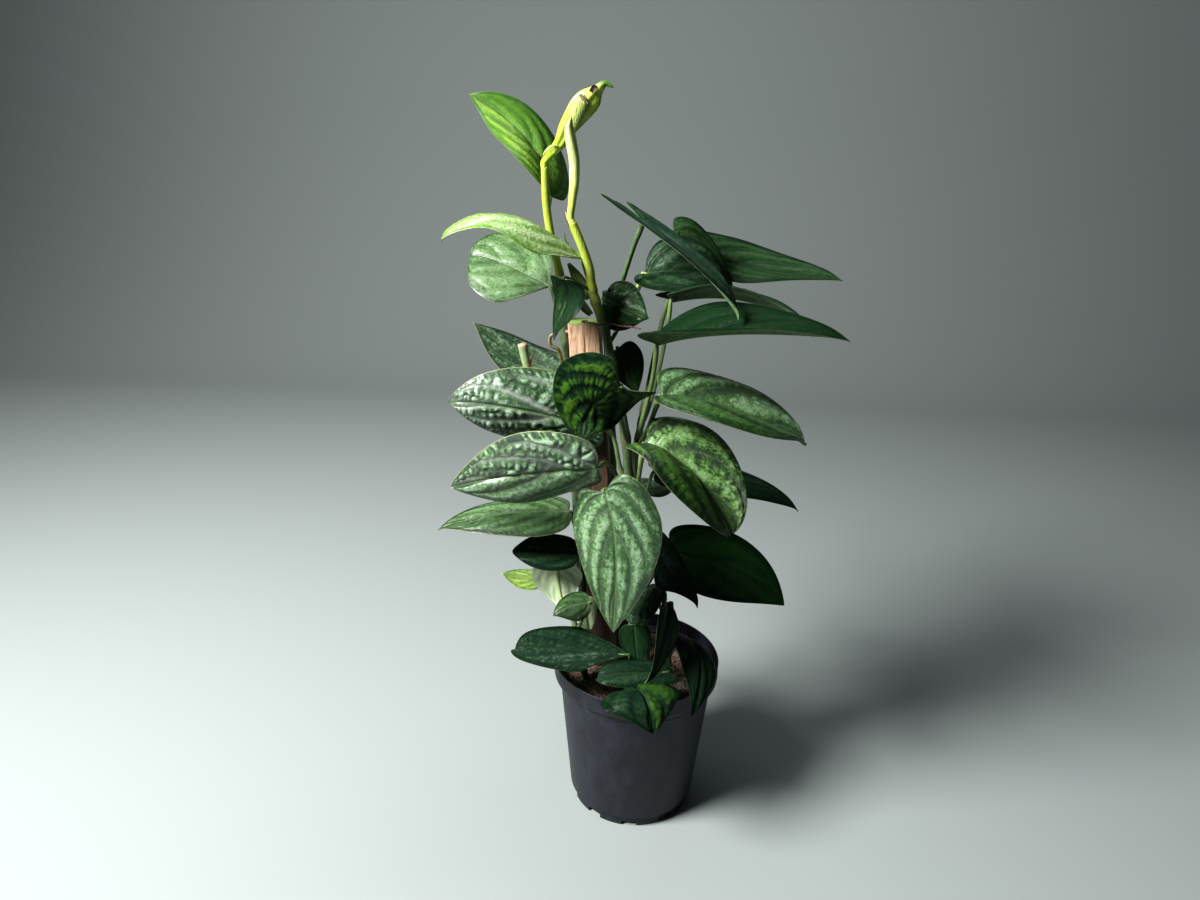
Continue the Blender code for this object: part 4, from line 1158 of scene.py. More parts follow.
def half_pattern(blade, turn, share, side, draw, fineness, veins):
    """Side veins, swells and blisters of one half, at every point of the blade."""
    place, reach = blade.sheet(turn, share)
    marks = vein_turns(draw, veins)
    place_turns, across_turns = draw.uniform(0, 6, 3), draw.uniform(0, 6, 3)
    wander = sum(np.sin((3 + 2 * k) * turn + place_turns[k]) * np.sin((2 + k) * share + across_turns[k])
                 for k in range(3))
    slanted = turn - vein_sweep(np.abs(share)) + VEIN_WANDER * wander
    phase = np.interp(slanted, marks, np.arange(len(marks)))
    spacing, across = across_veins(blade, place, reach, phase)
    from_vein = np.abs(phase - np.round(phase)) * spacing
    height = draw.uniform(0.7, 1.2, len(marks))[np.clip(phase.astype(int), 0, len(marks) - 1)]
    height = height * np.clip(spacing / SWELL_REACH, 0, 1) ** 1.3
    hump = np.sin(math.pi * (phase % 1) ** SWELL_LEAN) ** 0.8

    laddered = fineness < LADDER_BELOW
    size = PUCKER * fineness * (1 if blade.half > 30 else 0.72)
    two_rows = math.inf if laddered else 1.7 * size
    crease, dome, tone = np.zeros_like(turn), np.zeros_like(turn), np.full_like(turn, 0.5)
    for band, (low, high) in enumerate(zip(marks, marks[1:])):
        cells = band_blisters(blade, low, high, side, draw, size, two_rows)
        inside = (phase >= band) & (phase < band + 1)
        if len(cells) < 3 or not inside.any():
            continue
        spots = np.stack([place[inside] * blade.length, reach[inside] * blade.half], 1)
        stretch = np.where(cells[:, 2] > two_rows, 0.85, 0.3 if laddered else 0.6)
        crease[inside], dome[inside], tone[inside] = blistered_skin(
            cells, spots, across[inside], stretch, draw, size)

    in_band = rising(np.abs(share), *EDGE_BAND) * rising(turn, 0.4, 0.5)
    rung, rise, rung_tone = edge_rungs(blade, turn, side, draw, 0.7 * size)
    crease = crease + in_band * (0.9 * rung - crease)
    apart = np.clip(spacing / CLOSE_VEINS, 0, 1)
    crease, dome = crease * apart, dome * apart * np.clip(hump * 1.6, 0, 1)
    raised = dome + in_band * (0.85 * rise - dome)
    tone = np.where(in_band > 0.5, rung_tone, tone)
    return from_vein, hump, hump * height, np.clip(crease, 0, 1), raised, tone, phase, in_band


def blade_relief(blade, turn, share, looks, draw):
    """The sheet's relief in mm and the shares that its finish reads, at each point."""
    place, reach = blade.sheet(turn, share)
    flat = np.abs(share)
    fineness = looks[5] if len(looks) > 5 else 1.0
    veins = SIDE_VEINS + (fineness < LADDER_BELOW or looks[0][0] < 0.3)
    halves = [half_pattern(blade, turn, share, side, draw, fineness, veins) for side in (1, -1)]
    from_vein, hump, raised, crease, dome, tone, phase, band = (
        np.where(share >= 0, first, second) for first, second in zip(*halves))
    from_midrib = np.abs(reach) * blade.half
    to_edge = (1 - flat) * np.maximum(np.abs(blade.outline(turn)[1]), 0.02) * blade.half
    inner = rising(from_midrib, 0, 3.5) * rising(to_edge, 0, 2.5)
    inner = inner * inner * (3 - 2 * inner)
    puckered = mixed_halves(looks[0], share)
    swollen = np.clip(0.25 + 5 * puckered, 0, 1)
    scale = min(blade.half / LARGE_HALF, 1.0)

    rib = bell(from_midrib, MIDRIB_WIDTH - MIDRIB_NARROWS * place) * np.clip(1.25 - place, 0, 1)
    hollow = bell(from_midrib, HOLLOW_WIDTH - HOLLOW_NARROWS * place)
    fading = np.clip(1.15 - 0.7 * flat, 0, 1) * rising(from_midrib, 0, 2) * (1 - band)
    vein = bell(from_vein, VEIN_WIDTH) * fading
    smooth = np.maximum(bell(from_vein, SMOOTH_SHARE * blade.half) * fading,
                        bell(from_midrib, 0.07 * blade.half))
    edge_vein = bell((flat - EDGE_VEIN_AT) * blade.half, EDGE_VEIN_WIDTH) * rising(turn, 0.5, 0.5)
    uneven = ripple(place, reach, blade, draw, 0.8 * PUCKER)
    wave = flat ** 3 * np.sin(5 * turn + draw.uniform(0, 6) + 1.4 * np.sign(share))

    swell = SWELL * swollen * raised * (1 - 0.8 * band) * (1 - 0.6 * puckered)
    blisters = puckered * (1 - 0.75 * smooth) * (BLISTER_HEIGHT * dome - CREASE_DEPTH * crease)
    sunken = VEIN_DEPTH * vein + EDGE_VEIN_DEPTH * edge_vein
    rise = (scale * inner * (swell + blisters + UNEVENNESS * uneven - sunken)
            - MIDRIB_DEPTH * rib - HOLLOW_DEPTH * hollow + EDGE_WAVE * scale * wave
            - TIP_CURL * rising(place, 0.9, 0.1) ** 2)
    under = KEEL_HEIGHT * hollow * np.clip(1.1 - place, 0, 1) + 0.3 * vein

    # how far the skin stands up: the finish paints it lighter there, partly as painted light
    ridge = 0.6 + swollen * (hump ** 2 * (1 - 0.5 * band) - 0.6)
    crest = (1 - puckered) * ridge + puckered * dome ** 1.5 + 0.2 * uneven * (1 - smooth)
    shares = {
        "rib": np.clip(rib + 0.35 * hollow, 0, 1), "vein": vein, "smooth": smooth * inner,
        "crease": crease * inner * puckered, "swell": np.clip(crest * inner, 0, 1), "band": band,
        "tone": 0.5 + (tone - 0.5) * np.clip(1.5 * puckered, 0, 1),
        "rim": np.clip(1.2 - to_edge / RIM_WIDTH, 0, 1) * np.clip(blade.half / 20, 0.5, 1),
        "silver": mixed_halves(looks[1], share), "bright": mixed_halves(looks[2], share),
        "blue": np.full_like(turn, looks[3]), "dark": np.full_like(turn, looks[4])}
    grain = np.stack([phase, share * blade.half / 10, 0 * turn], -1)
    return place, reach, rise, under, shares, grain


def leaf_paint_group(name, tones):
    """The colour, gloss and fine relief of a leaf's upper skin."""
    group, given, result = new_group(
        name, tones, {"Colour": tuple, "Roughness": float, "Coat": float, "Height": float})
    tone = {label: given.outputs[label] for label in tones}
    read = {label: painted(group, label) for label in
            ("rib", "vein", "smooth", "crease", "swell", "tone", "band", "rim", "silver", "bright",
             "blue", "dark")}
    grain = add_node(group, "ShaderNodeAttribute", attribute_name="grain").outputs["Vector"]
    cloud = mottled(group, (38, 38, 38), 0.3, 0.7, 2.0)
    patch = mottled(group, (170, 170, 170), 0.35, 0.65, 2.0)
    fine = mottled(group, (480, 480, 480), 0.3, 0.7, 4.0)

    # a net of small veins, drawn out across the bands between the side veins
    warped = add_node(group, "ShaderNodeVectorMath", {0: grain, 1: (5, 9, 1)},
                      operation="MULTIPLY").outputs[0]
    ladder = add_node(group, "ShaderNodeTexVoronoi", {"Vector": warped, "Scale": 1.0},
                      feature="DISTANCE_TO_EDGE").outputs["Distance"]
    net = ramp(group, ladder, 0.14, 0.0)

    # green that is lighter where the skin stands up and darker in its creases, partly its own colour
    # and partly painted light and painted shade
    crest = scaled(group, read["swell"], 0.6, scaled(group, read["tone"], 0.3, times(group, fine, 0.2)))
    crest = scaled(group, read["crease"], -0.5, scaled(group, cloud, 0.2, crest))
    # a painted glow of light shining through the blade where it is bright, over some of its own
    # yellow-green
    glow = times(group, read["bright"], ramp(group, crest, 0.25, 0.85))
    # a dark blade is painted deeper green all over: partly its own older skin, partly painted shade
    colour = layered(group, tone["Deep"], (ramp(group, crest, 0.0, 0.75), 1, tone["Green"]),
                     (read["dark"], 0.85, tone["Deep"]), (net, 0.2, tone["Deep"]),
                     (glow, 1, tone["Bright"]))

    # silver on the raised skin, partly its own silver and partly a painted highlight; a painted
    # reflection on the smooth strips beside the veins; and a painted bluish reflection
    lit = scaled(group, patch, 0.12, scaled(group, fine, 0.18, crest))
    silver_and_highlight = times(group, read["silver"], scaled(group, ramp(group, lit, 0.6, 1.2), 0.92, 0.08))
    strip_reflection = times(group, read["smooth"], scaled(group, fine, 0.3, 0.65))
    strip_reflection = times(group, strip_reflection, math_of(group, "POWER", read["silver"], 4.0))
    pale = math_of(group, "ADD", read["silver"], read["bright"])
    edged = math_of(group, "MULTIPLY", read["band"], math_of(group, "SUBTRACT", 1.1, pale), clamp=True)
    colour = layered(group, colour, (silver_and_highlight, 1, tone["Silver"]), (strip_reflection, 1, tone["Strip"]),
                     (read["blue"], 0.6, tone["Blue"]), (edged, 0.6, tone["Deep"]))

    # pale veins, midrib and rim, which fade on a dark blade under its painted shade
    clear = scaled(group, read["dark"], -0.95, 1.0)
    for label, strength, tint in (("vein", 0.5, "Vein"), ("rib", 0.6, "Vein"), ("rim", 0.7, "Rim")):
        line = times(group, clear, times(group, read[label], strength))
        colour = blended(group, line, colour, tone[tint])
    group.links.new(colour, result.inputs["Colour"])
    gloss = math_of(group, "ADD", scaled(group, fine, 0.16, 0.28), times(group, read["crease"], 0.15))
    group.links.new(gloss, result.inputs["Roughness"])
    # a dark blade, partly painted as in shade, gets less coat
    group.links.new(scaled(group, read["dark"], -0.38, 0.4, clamp=True), result.inputs["Coat"])
    height = math_of(group, "ADD", times(group, fine, 0.6), times(group, net, -0.5))
    group.links.new(height, result.inputs["Height"])
    return group


# In the tones, Silver is partly a painted highlight, Strip a painted reflection, Blue a painted bluish
# reflection, Bright partly painted light shining through the blade, and Deep partly painted shade.
MATURE_TONES = {
    "Deep": (0.002, 0.01, 0.004), "Green": (0.028, 0.1, 0.016), "Bright": (0.09, 0.2, 0.015),
    "Silver": (0.33, 0.46, 0.34), "Strip": (0.34, 0.39, 0.35), "Blue": (0.02, 0.046, 0.042),
    "Vein": (0.19, 0.29, 0.14), "Rim": (0.44, 0.48, 0.24)}
YOUNG_TONES = {
    "Deep": (0.03, 0.11, 0.012), "Green": (0.11, 0.27, 0.02), "Bright": (0.34, 0.48, 0.05),
    "Silver": (0.55, 0.68, 0.42), "Strip": (0.55, 0.66, 0.4), "Blue": (0.06, 0.14, 0.09),
    "Vein": (0.42, 0.52, 0.2), "Rim": (0.5, 0.56, 0.16)}
PALE_TONES = {
    "Deep": (0.16, 0.26, 0.1), "Green": (0.3, 0.42, 0.18), "Bright": (0.5, 0.6, 0.25),
    "Silver": (0.5, 0.6, 0.38), "Strip": (0.58, 0.66, 0.48), "Blue": (0.2, 0.3, 0.22),
    "Vein": (0.62, 0.7, 0.5), "Rim": (0.6, 0.68, 0.4)}
leaf_paint = leaf_paint_group("leaf_paint", MATURE_TONES)


def blade_finish(name, tones, specular=0.4):
    """The upper skin of a blade, in its own tones."""
    finish, tree, shader = new_finish(name, 0.35, specular=specular)
    skin = placed(tree, leaf_paint, **tones).outputs
    dress(tree, shader, skin["Colour"], skin["Height"], 0.00035, skin["Roughness"])
    tree.links.new(skin["Coat"], shader.inputs["Coat Weight"])
    return finish


def underside_finish(name, green, pale):
    """The dull, paler skin under a blade, with raised veins."""
    finish, tree, shader = new_finish(name, 0.6, specular=0.35)
    cloud = mottled(tree, (160, 160, 160), 0.3, 0.7)
    fine = mottled(tree, (700, 700, 700), 0.3, 0.7)
    veined = math_of(tree, "ADD", times(tree, painted(tree, "rib"), 0.6),
                     times(tree, painted(tree, "vein"), 0.4))
    colour = layered(tree, green, (cloud, 0.5, pale), (fine, 0.2, pale), (veined, 1, pale))
    dress(tree, shader, colour, fine, 0.0003)
    return finish


def stalk_finish(name, deep, green, pale):
    """A stalk's streaked skin, pale where it is fresh and at its joint, and darker where its blade is
    painted dark, partly as painted shade.
    """
    finish, tree, shader = new_finish(name, 0.4, specular=0.45)
    joint, fresh, dark = (painted(tree, label) for label in ("joint", "fresh", "dark"))
    streaks = mottled(tree, (900, 900, 120), 0.35, 0.7)
    patches = mottled(tree, (150, 150, 80), 0.35, 0.7)
    colour = layered(tree, deep, (patches, 1, green), (fresh, 1, pale), (streaks, 0.3, deep),
                     (joint, 0.5, pale), (dark, 0.7, deep))
    dress(tree, shader, colour, mottled(tree, (1000, 1000, 150), output="Noise"), 0.0006)
    return finish


mature_skins = [
    blade_finish("mature_blade", MATURE_TONES),
    underside_finish("mature_underside", (0.07, 0.13, 0.06), (0.2, 0.29, 0.15)),
    stalk_finish("mature_stalk", (0.045, 0.085, 0.04), (0.11, 0.18, 0.075), (0.3, 0.4, 0.1))]
# a shaded copy of the mature blade, with almost no gloss, for blades painted dark as in shade
shaded_skins = [blade_finish("shaded_blade", MATURE_TONES, specular=0.03), *mature_skins[1:]]
pale_skins = [
    blade_finish("pale_blade", PALE_TONES),
    underside_finish("pale_underside", (0.42, 0.52, 0.33), (0.58, 0.66, 0.48)),
    stalk_finish("pale_stalk", (0.3, 0.4, 0.16), (0.45, 0.55, 0.25), (0.55, 0.63, 0.35))]
young_skins = [
    blade_finish("young_blade", YOUNG_TONES, specular=0.2),
    underside_finish("young_underside", (0.25, 0.38, 0.13), (0.42, 0.52, 0.26)),
    stalk_finish("young_stalk", (0.16, 0.26, 0.06), (0.3, 0.42, 0.12), (0.42, 0.55, 0.2))]

STALK_RADIUS = 2.0
STALK_FOOT_STOUTER = 0.75          # how much more it measures at its foot
STALK_JOINT_SWELL = 0.4
STALK_JOINT = (0.86, 0.07)         # where the joint is, and its length, as shares
STALK_CHANNEL = (0.22, 0.45)       # depth and width of the channel, as a share and a turn
STALK_SEAT = 2                     # how far behind the blade's heel it ends
STALK_LEAD = 3                     # how straight it leaves its stem, at most
STALK_LEAD_SHARE = 0.1             # the same for a short stalk, as a share of its reach
STALK_LEAD_OUT, STALK_LEAD_UP = 3, 2   # how the first of it leans out and up
STALK_ARRIVAL_SHARE = 0.35         # how straight it comes to the blade
STALK_ARCH = 0.5                   # how much it rises over the blade's heel
STALK_RUN_ON = (0.04, 1.1)         # how far it runs on under the midrib, and how deep
STALK_RINGS = 40
STALK_SIDES = 16
FULL_STALK_WIDTH = 74              # a blade narrower than this has a thinner stalk
FINE_CELL, PLAIN_CELL = 1.05, 1.35   # spacing of a blade's points, puckered and plain
ROW_LIMITS, COLUMN_LIMITS = (36, 126), (9, 28)
PLAIN_STALK = (1.0, 0.15, 1)
# stalks that are stouter, paler or flatter than the rest: radius factor, fresh, flatness
STALK_LOOKS = {
    "top_leaf": (1.25, 0.9, 0.45), "high_right_leaf": (1.3, 0.1, 1), "cupped_right_leaf": (1.1, 0.9, 1),
    "silver_right_leaf": (1.1, 0.35, 1), "broad_right_leaf": (1.15, 0.2, 1),
    "pale_drooping_leaf": (0.7, 0.9, 1), "arching_young_leaf": (1.0, 0.5, 1),
    "long_right_leaf": (1.15, 0.35, 1), "thin_right_leaf": (1.05, 0.35, 1),
    "far_right_leaf": (1.1, 0.35, 1), "small_dark_leaf": (0.6, 0.2, 1),
    "small_silver_leaf": (0.7, 0.2, 1), "pale_left_leaf": (0.7, 0.9, 1),
}


def bezier(points, t):
    """A point on the cubic curve that four points set."""
    first, second, third, fourth = points
    return ((1 - t) ** 3 * first + 3 * t * (1 - t) ** 2 * second
            + 3 * t * t * (1 - t) * third + t ** 3 * fourth)


def stalk_route(blade, place):
    """The stalk's centre line from its stem to the blade's heel, and the blade's side there."""
    middle, way, radius = place
    along, side, up = (Vector(axis) for axis in blade.axes(np.array(0.0)))
    heel = Vector(blade.heel) - STALK_SEAT * along
    away = heel - middle
    away = (away - away.project(way)).normalized()
    foot = middle + away * float(radius - 1)
    reach = (heel - foot).length
    arrive = (heel - foot).normalized() + STALK_ARCH * up
    arrive = (arrive - arrive.project(side)).normalized()
    lead = min(STALK_LEAD_SHARE * reach, STALK_LEAD)
    bend = foot + lead * (STALK_LEAD_OUT * away + STALK_LEAD_UP * way.normalized())
    ends = (foot, bend, heel - STALK_ARRIVAL_SHARE * reach * arrive, heel)
    route = [bezier(ends, step / (STALK_RINGS - 1)) for step in range(STALK_RINGS)]
    run_on = Vector(blade.midrib(np.array(STALK_RUN_ON[0]))) - STALK_RUN_ON[1] * up
    route += [heel.lerp(run_on, 0.5) - 0.4 * up, run_on]
    return route, side


def channelled(radius, flatness, groove):
    """A round section with a shallow channel along its upper side."""
    section = []
    for index in range(STALK_SIDES):
        turn = 2 * math.pi * index / STALK_SIDES
        from_top = math.atan2(math.cos(turn), -math.sin(turn))
        dip = 1 - groove * math.exp(-(from_top / STALK_CHANNEL[1]) ** 2)
        section.append((radius * dip * math.cos(turn), radius * dip * flatness * math.sin(turn)))
    return section


def leaf_stalk(blade, place, stout, flatness):
    """Points, faces and joint shares of a stalk: stout at its foot, with a swollen pale joint."""
    route, side = stalk_route(blade, place)
    base = stout * min(max(2 * blade.half / FULL_STALK_WIDTH, 0.6), 1.0) ** 0.5
    ways = tangents(route)
    sides = carried_sides(list(reversed(ways)), side)
    sides.reverse()
    points, joint = [], []
    for index, (spot, way, across) in enumerate(zip(route, ways, sides)):
        t = index / (len(route) - 1)
        swollen = math.exp(-((t - STALK_JOINT[0]) / STALK_JOINT[1]) ** 2)
        radius = base * (STALK_RADIUS + STALK_FOOT_STOUTER * (1 - t) ** 3
                         + STALK_JOINT_SWELL * swollen)
        if t > 0.95:
            radius *= 1 - 0.55 * (t - 0.95) / 0.05
        up = across.cross(way)
        for x, y in channelled(radius, flatness, STALK_CHANNEL[0] * (1 - swollen)):
            points.append(spot + across * x + up * y)
        joint += [swollen] * STALK_SIDES
    return points, closed_tube(len(route), STALK_SIDES), np.array(joint)


def sheet_faces(rows, columns, heel, tip):
    """Faces of a closed sheet from the points above, those below inside the rim, and a point at
    each end. Also the kind of each face: 0 above, 1 below."""
    above = np.arange(rows * columns).reshape(rows, columns)
    below = above.copy()
    below[:, 1:-1] = rows * columns + np.arange(rows * (columns - 2)).reshape(rows, columns - 2)
    faces, kinds = [], []
    for index, kind, flip in ((above, 0, False), (below, 1, True)):
        corners = np.stack([index[:-1, :-1], index[1:, :-1], index[1:, 1:], index[:-1, 1:]], -1)
        quads = corners.reshape(-1, 4)
        quads = quads[:, ::-1] if flip else quads
        faces += quads.tolist()
        kinds += [kind] * len(quads)
        for edge, point, turned_over in ((index[0], heel, False), (index[-1], tip, True)):
            for first, second in zip(edge, edge[1:]):
                corner = (point, int(first), int(second))
                faces.append(corner if turned_over == flip else corner[::-1])
                kinds.append(kind)
    return faces, kinds


def leaf_skins(name, dark):
    """The finishes of a leaf: its upper skin, its underside and its stalk."""
    if name in PALE_LEAVES:
        return pale_skins
    if name in YOUNG_LEAVES:
        return young_skins
    # a blade painted dark for shade takes the shaded copy of the finish
    return shaded_skins if dark >= SHADED_FROM else mature_skins


def full_leaf(name, place, row, looks, seed):
    """One leaf: the blade as a closed sheet with its relief, and its stalk."""
    draw = np.random.default_rng(seed)
    blade = Blade(*row)
    cell = FINE_CELL if max(looks[0]) > 0.5 else PLAIN_CELL
    rows = int(np.clip(blade.length / cell, *ROW_LIMITS))
    half = spread_shares(int(np.clip(blade.half / (1.3 * cell), *COLUMN_LIMITS)))
    shares_across = np.concatenate([half[::-1], -half[1:]])
    turns = np.linspace(0, math.pi, rows + 2)[1:-1]
    turn, share = np.meshgrid(turns, shares_across, indexing="ij")
    place_on, reach, rise, under, shares, grain = blade_relief(blade, turn, share, looks, draw)
    thick = BLADE_LIFT * np.sqrt(np.clip(1 - np.abs(share) ** 24, 0, 1))
    above = blade.points(place_on, reach, rise + thick)
    below = blade.points(place_on, reach, rise - thick - under * (np.abs(share) < 1))
    ends = blade.points(np.array([0.0, 1.0]), np.zeros(2), np.array([-0.6, -TIP_CURL]))
    points = [*above.reshape(-1, 3), *below[:, 1:-1].reshape(-1, 3), *ends]
    blade_count = len(points)
    faces, kinds = sheet_faces(rows, len(shares_across), blade_count - 2, blade_count - 1)

    stout, fresh, flatness = STALK_LOOKS.get(name, PLAIN_STALK)
    stalk, stalk_faces, joint = leaf_stalk(blade, place, stout, flatness)
    points += stalk
    faces += [tuple(blade_count + corner for corner in face) for face in stalk_faces]
    kinds += [2] * len(stalk_faces)
    piece = made_piece(name + "_grown", np.array([tuple(point) for point in points]) * MM, faces,
                       leaf_skins(name, looks[4]), kinds)

    # a stalk takes part of its dark blade's painted shade, less where it is fresh
    on_stalk = {"dark": looks[4] * (1 - fresh)}
    for label, values in shares.items():
        layers = [values.ravel(), values[:, 1:-1].ravel(), (values[0].mean(), values[-1].mean()),
                  np.full(len(stalk), on_stalk.get(label, 0.0))]
        paint(piece, **{label: np.concatenate(layers)})
    plain = np.zeros(blade_count)
    # the pale joint fades under a dark blade's painted shade
    joint = joint * (1 - 0.9 * looks[4])
    paint(piece, joint=np.concatenate([plain, joint]),
          fresh=np.concatenate([plain, np.full(len(stalk), fresh)]))
    layer = piece.data.attributes.new("grain", "FLOAT_VECTOR", "POINT")
    all_grain = np.concatenate([grain.reshape(-1, 3), grain[:, 1:-1].reshape(-1, 3),
                                np.zeros((2 + len(stalk), 3))])
    layer.data.foreach_set("vector", all_grain.astype(np.float32).ravel())
    return piece


for number, (name, ((stem, height), *row)) in enumerate(LEAVES.items()):
    grown = full_leaf(name, stem_at(stem, height), row, BLADE_LOOKS[name], 100 + number)
    stands_for(grown, "young_leaf" if name in YOUNG_LEAVES else "leaf_blade", name)

# ------------------------------------------------------------------------------ new leaves
# Two leaves that are still rolled up at the tops of their stems. Each is one soft blade
# wound round itself, yellow-green, with its free edge showing as a seam along the roll.

# stem, route above its top, radii from the top down to the tip, flatness, pleats, openness
NEW_LEAVES = {
    "unfurling_leaf": ("left_stem", ((-98, 15, 648), (-92, 12, 655), (-83, 7, 664), (-76, 4, 676),
                                     (-67, 1, 689), (-58, 0, 698), (-52, -1, 705),
                                     (-46, -2, 710), (-39, -2, 707)),
                       (3.2, 3.2, 3.8, 6.0, 8.5, 11.0, 10.0, 4.6, 2.8, 1.0), 0.6, 0.13, 0.2),
    "rolled_leaf": ("front_stem", ((-71.5, -20, 605), (-70, -21, 619), (-68.5, -21, 635),
                                   (-69.5, -21, 651), (-72.5, -21, 665), (-74, -20.5, 675),
                                   (-72, -19, 684)),
                    (3.2, 3.2, 4.0, 4.8, 4.5, 4.2, 3.4, 0.8), 1.0, 0.02, 0.55),
}
ROLL_STEPS = 16
ROLL_SIDES = 48
ROLL_TURNS = 1.45
ROLL_SHEET = 0.5                     # thickness of the sheet, mm
ROLL_START = -0.6                    # the turn at which its free edge lies
ROLL_TIGHTENS = (0.14, 0.24)         # how much it closes in: at first, and more once wound
ROLL_FLARE = 0.18                    # how much of the sheet its open edge takes
ROLL_SMOOTHING = 13                  # rings over which its thickness changes
TIP_FROM, TIP_DARK = 0.81, 0.06      # where the tip darkens, and how soon
ROLL_GREEN = (0.27, 0.38, 0.025)
ROLL_YELLOW = (0.5, 0.58, 0.06)
ROLL_PALE = (0.68, 0.76, 0.34)
ROLL_DARK = (0.07, 0.17, 0.02)
ROLL_SPOT = (0.09, 0.04, 0.015)


def roll_section(radius, flatness, wound, pleats, opened, t):
    """A sheet wound round itself: its outer side, then its inner side back again, in mm."""
    outer, inner = [], []
    for index in range(ROLL_SIDES + 1):
        share = index / ROLL_SIDES
        turn = ROLL_START - 2 * math.pi * ROLL_TURNS * share
        tightness = 1 - (ROLL_TIGHTENS[0] + ROLL_TIGHTENS[1] * wound) * share
        flare = 1 + opened * max(0.0, 1 - share / ROLL_FLARE) ** 2
        fold = 1 + pleats * (math.sin(5 * turn + 7 * t) + 0.5 * math.sin(9 * turn - 12 * t))
        reach = radius * tightness * flare * fold
        sheet = min(ROLL_SHEET, 0.22 * radius)
        for ring, depth in ((outer, 0.0), (inner, sheet)):
            ring.append(((reach - depth) * math.cos(turn),
                         (reach - depth) * flatness * math.sin(turn)))
    return outer + inner[::-1]


def roll_finish():
    """Soft yellow-green skin with fine lines, a dark tip and brown spots along the seam."""
    finish, tree, shader = new_finish("soft_new_blade", 0.38, coat=0.15, specular=0.4)
    tip, seam, pale = (painted(tree, label) for label in ("tip", "seam", "pale"))
    lines = mottled(tree, (700, 700, 60), 0.35, 0.65)
    patches = mottled(tree, (140, 140, 70), 0.35, 0.7)
    spots = mottled(tree, (260, 260, 260), 0.6, 0.68, 3.0)
    paler = blended(tree, pale, ROLL_YELLOW, ROLL_PALE)
    colour = layered(tree, ROLL_GREEN, (patches, 1, paler), (pale, 0.7, ROLL_PALE),
                     (lines, 0.35, ROLL_GREEN), (tip, 1, ROLL_DARK),
                     (times(tree, seam, spots), 0.9, ROLL_SPOT))
    dress(tree, shader, colour, mottled(tree, (800, 800, 80), output="Noise"), 0.0003)
    return finish


new_skin = roll_finish()
for name, (stem, points, radii, flatness, pleats, openness) in NEW_LEAVES.items():
    route = smooth_route([stem_routes[stem][-1], *points], ROLL_STEPS)
    steps = np.linspace(0, len(radii) - 1, len(route))
    spread = np.interp(steps, np.arange(len(radii)), radii)
    evened = np.ones(ROLL_SMOOTHING) / ROLL_SMOOTHING
    spread = np.convolve(np.pad(spread, ROLL_SMOOTHING // 2, mode="edge"), evened, mode="valid")
    spread[-6:] *= np.linspace(1, 0.35, 6)

    def section(t):
        radius = spread[round(t * (len(route) - 1))]
        wound = rising(t, 0.04, 0.2)
        opened = openness * rising(t, 0.45, 0.3)
        return roll_section(radius * (STEM_THICKER + (1 - STEM_THICKER) * wound),
                            1 + (flatness - 1) * wound, wound, pleats * min(1, radius / 5),
                            opened, t)

    roll_sides = 2 * (ROLL_SIDES + 1)
    roll = made_piece(name + "_grown", np.array(swept(route, section)) * MM,
                      closed_tube(len(route), roll_sides), [new_skin])
    t = np.linspace(0, 1, len(route))
    opening = name == "unfurling_leaf"
    tip = rising(t, TIP_FROM, TIP_DARK) * (1.0 if opening else 0.3)
    pale = np.clip((t - 0.1) / 0.5, 0.3, 1) * (0.1 if opening else 1.0)
    around = np.concatenate([np.linspace(0, 1, ROLL_SIDES + 1), np.linspace(1, 0, ROLL_SIDES + 1)])
    seam = np.clip(1 - around / 0.16, 0, 1)[None, :] * rising(t, 0.5, 0.2)[:, None]
    if not opening:
        seam = seam * 0.2
    paint(roll, tip=np.repeat(tip, roll_sides), pale=np.repeat(pale, roll_sides), seam=seam.ravel())
    stands_for(roll, "young_leaf", name)

# ------------------------------------------------------------------------------ bracts
# Small sheaths and bracts left round the young growth, each a thin cupped scale, and a few
# short root nubs on the old stems.

# name: route from its foot to its tip, half width in mm along it, cup, how fresh (below 0 it
# is browned all over)
BRACTS = {
    "tip_bract": (((-70.5, -21.5, 598), (-73.5, -22, 603), (-76, -21, 609)),
                  (2.6, 1.8, 0.3), 0.7, 0.9),
    "dark_bract": (((-74, -6, 577), (-76, -7, 584), (-78, -7, 591)), (1.6, 1.3, 0.3), 0.6, 0.0),
    "stalk_bract": (((-109, 1, 468), (-108, 0, 475), (-104, 0, 484)), (1.5, 1.1, 0.4), 0.5, -1.0),
    "brown_tip_high": (((-57, -5, 703), (-54.5, -6, 706.5), (-51.5, -6, 706)),
                       (2.2, 2.4, 1.0), 0.5, -1.0),
    "brown_tip_low": (((-66, -9, 701), (-63, -10.5, 698), (-59, -11, 694)),
                      (1.2, 1.4, 0.4), 0.5, -1.0),
    "bend_flap": (((-86, 4, 662), (-91, 2, 661.5), (-96, 1, 657), (-98, 2, 653)),
                  (2.2, 3.2, 2.4, 0.4), 0.5, 1.0),
    "winged_sheath": (((-54, -10, 536), (-61, -9, 546), (-68, -9, 556), (-74, -9, 565)),
                      (4.4, 5.6, 4.4, 1.4), 0.6, 0.5),
    "new_leaf_fold": (((-77, -3, 667), (-71, -7, 678), (-67, -9, 689), (-64, -9, 696),
                       (-64, -6, 701)), (2.0, 4.5, 6.5, 6.0, 3.5), -0.6, 1.0),
    "curled_bract": (((-53, -8, 521), (-58, -10, 527), (-62, -10, 532), (-63, -8, 527)),
                     (2.5, 4.0, 3.6, 1.6), 0.9, 0.25),
}
BRACT_ROWS = 26
BRACT_COLUMNS = 13
BRACT_SHEET = 0.3                    # its thickness, mm
BRACT_ARC, BRACT_SPAN = 1.3, 0.96    # how far round its section goes, and the sine of that
FRESH_SCALE = (0.42, 0.5, 0.14)
DRIED = (0.13, 0.06, 0.04)


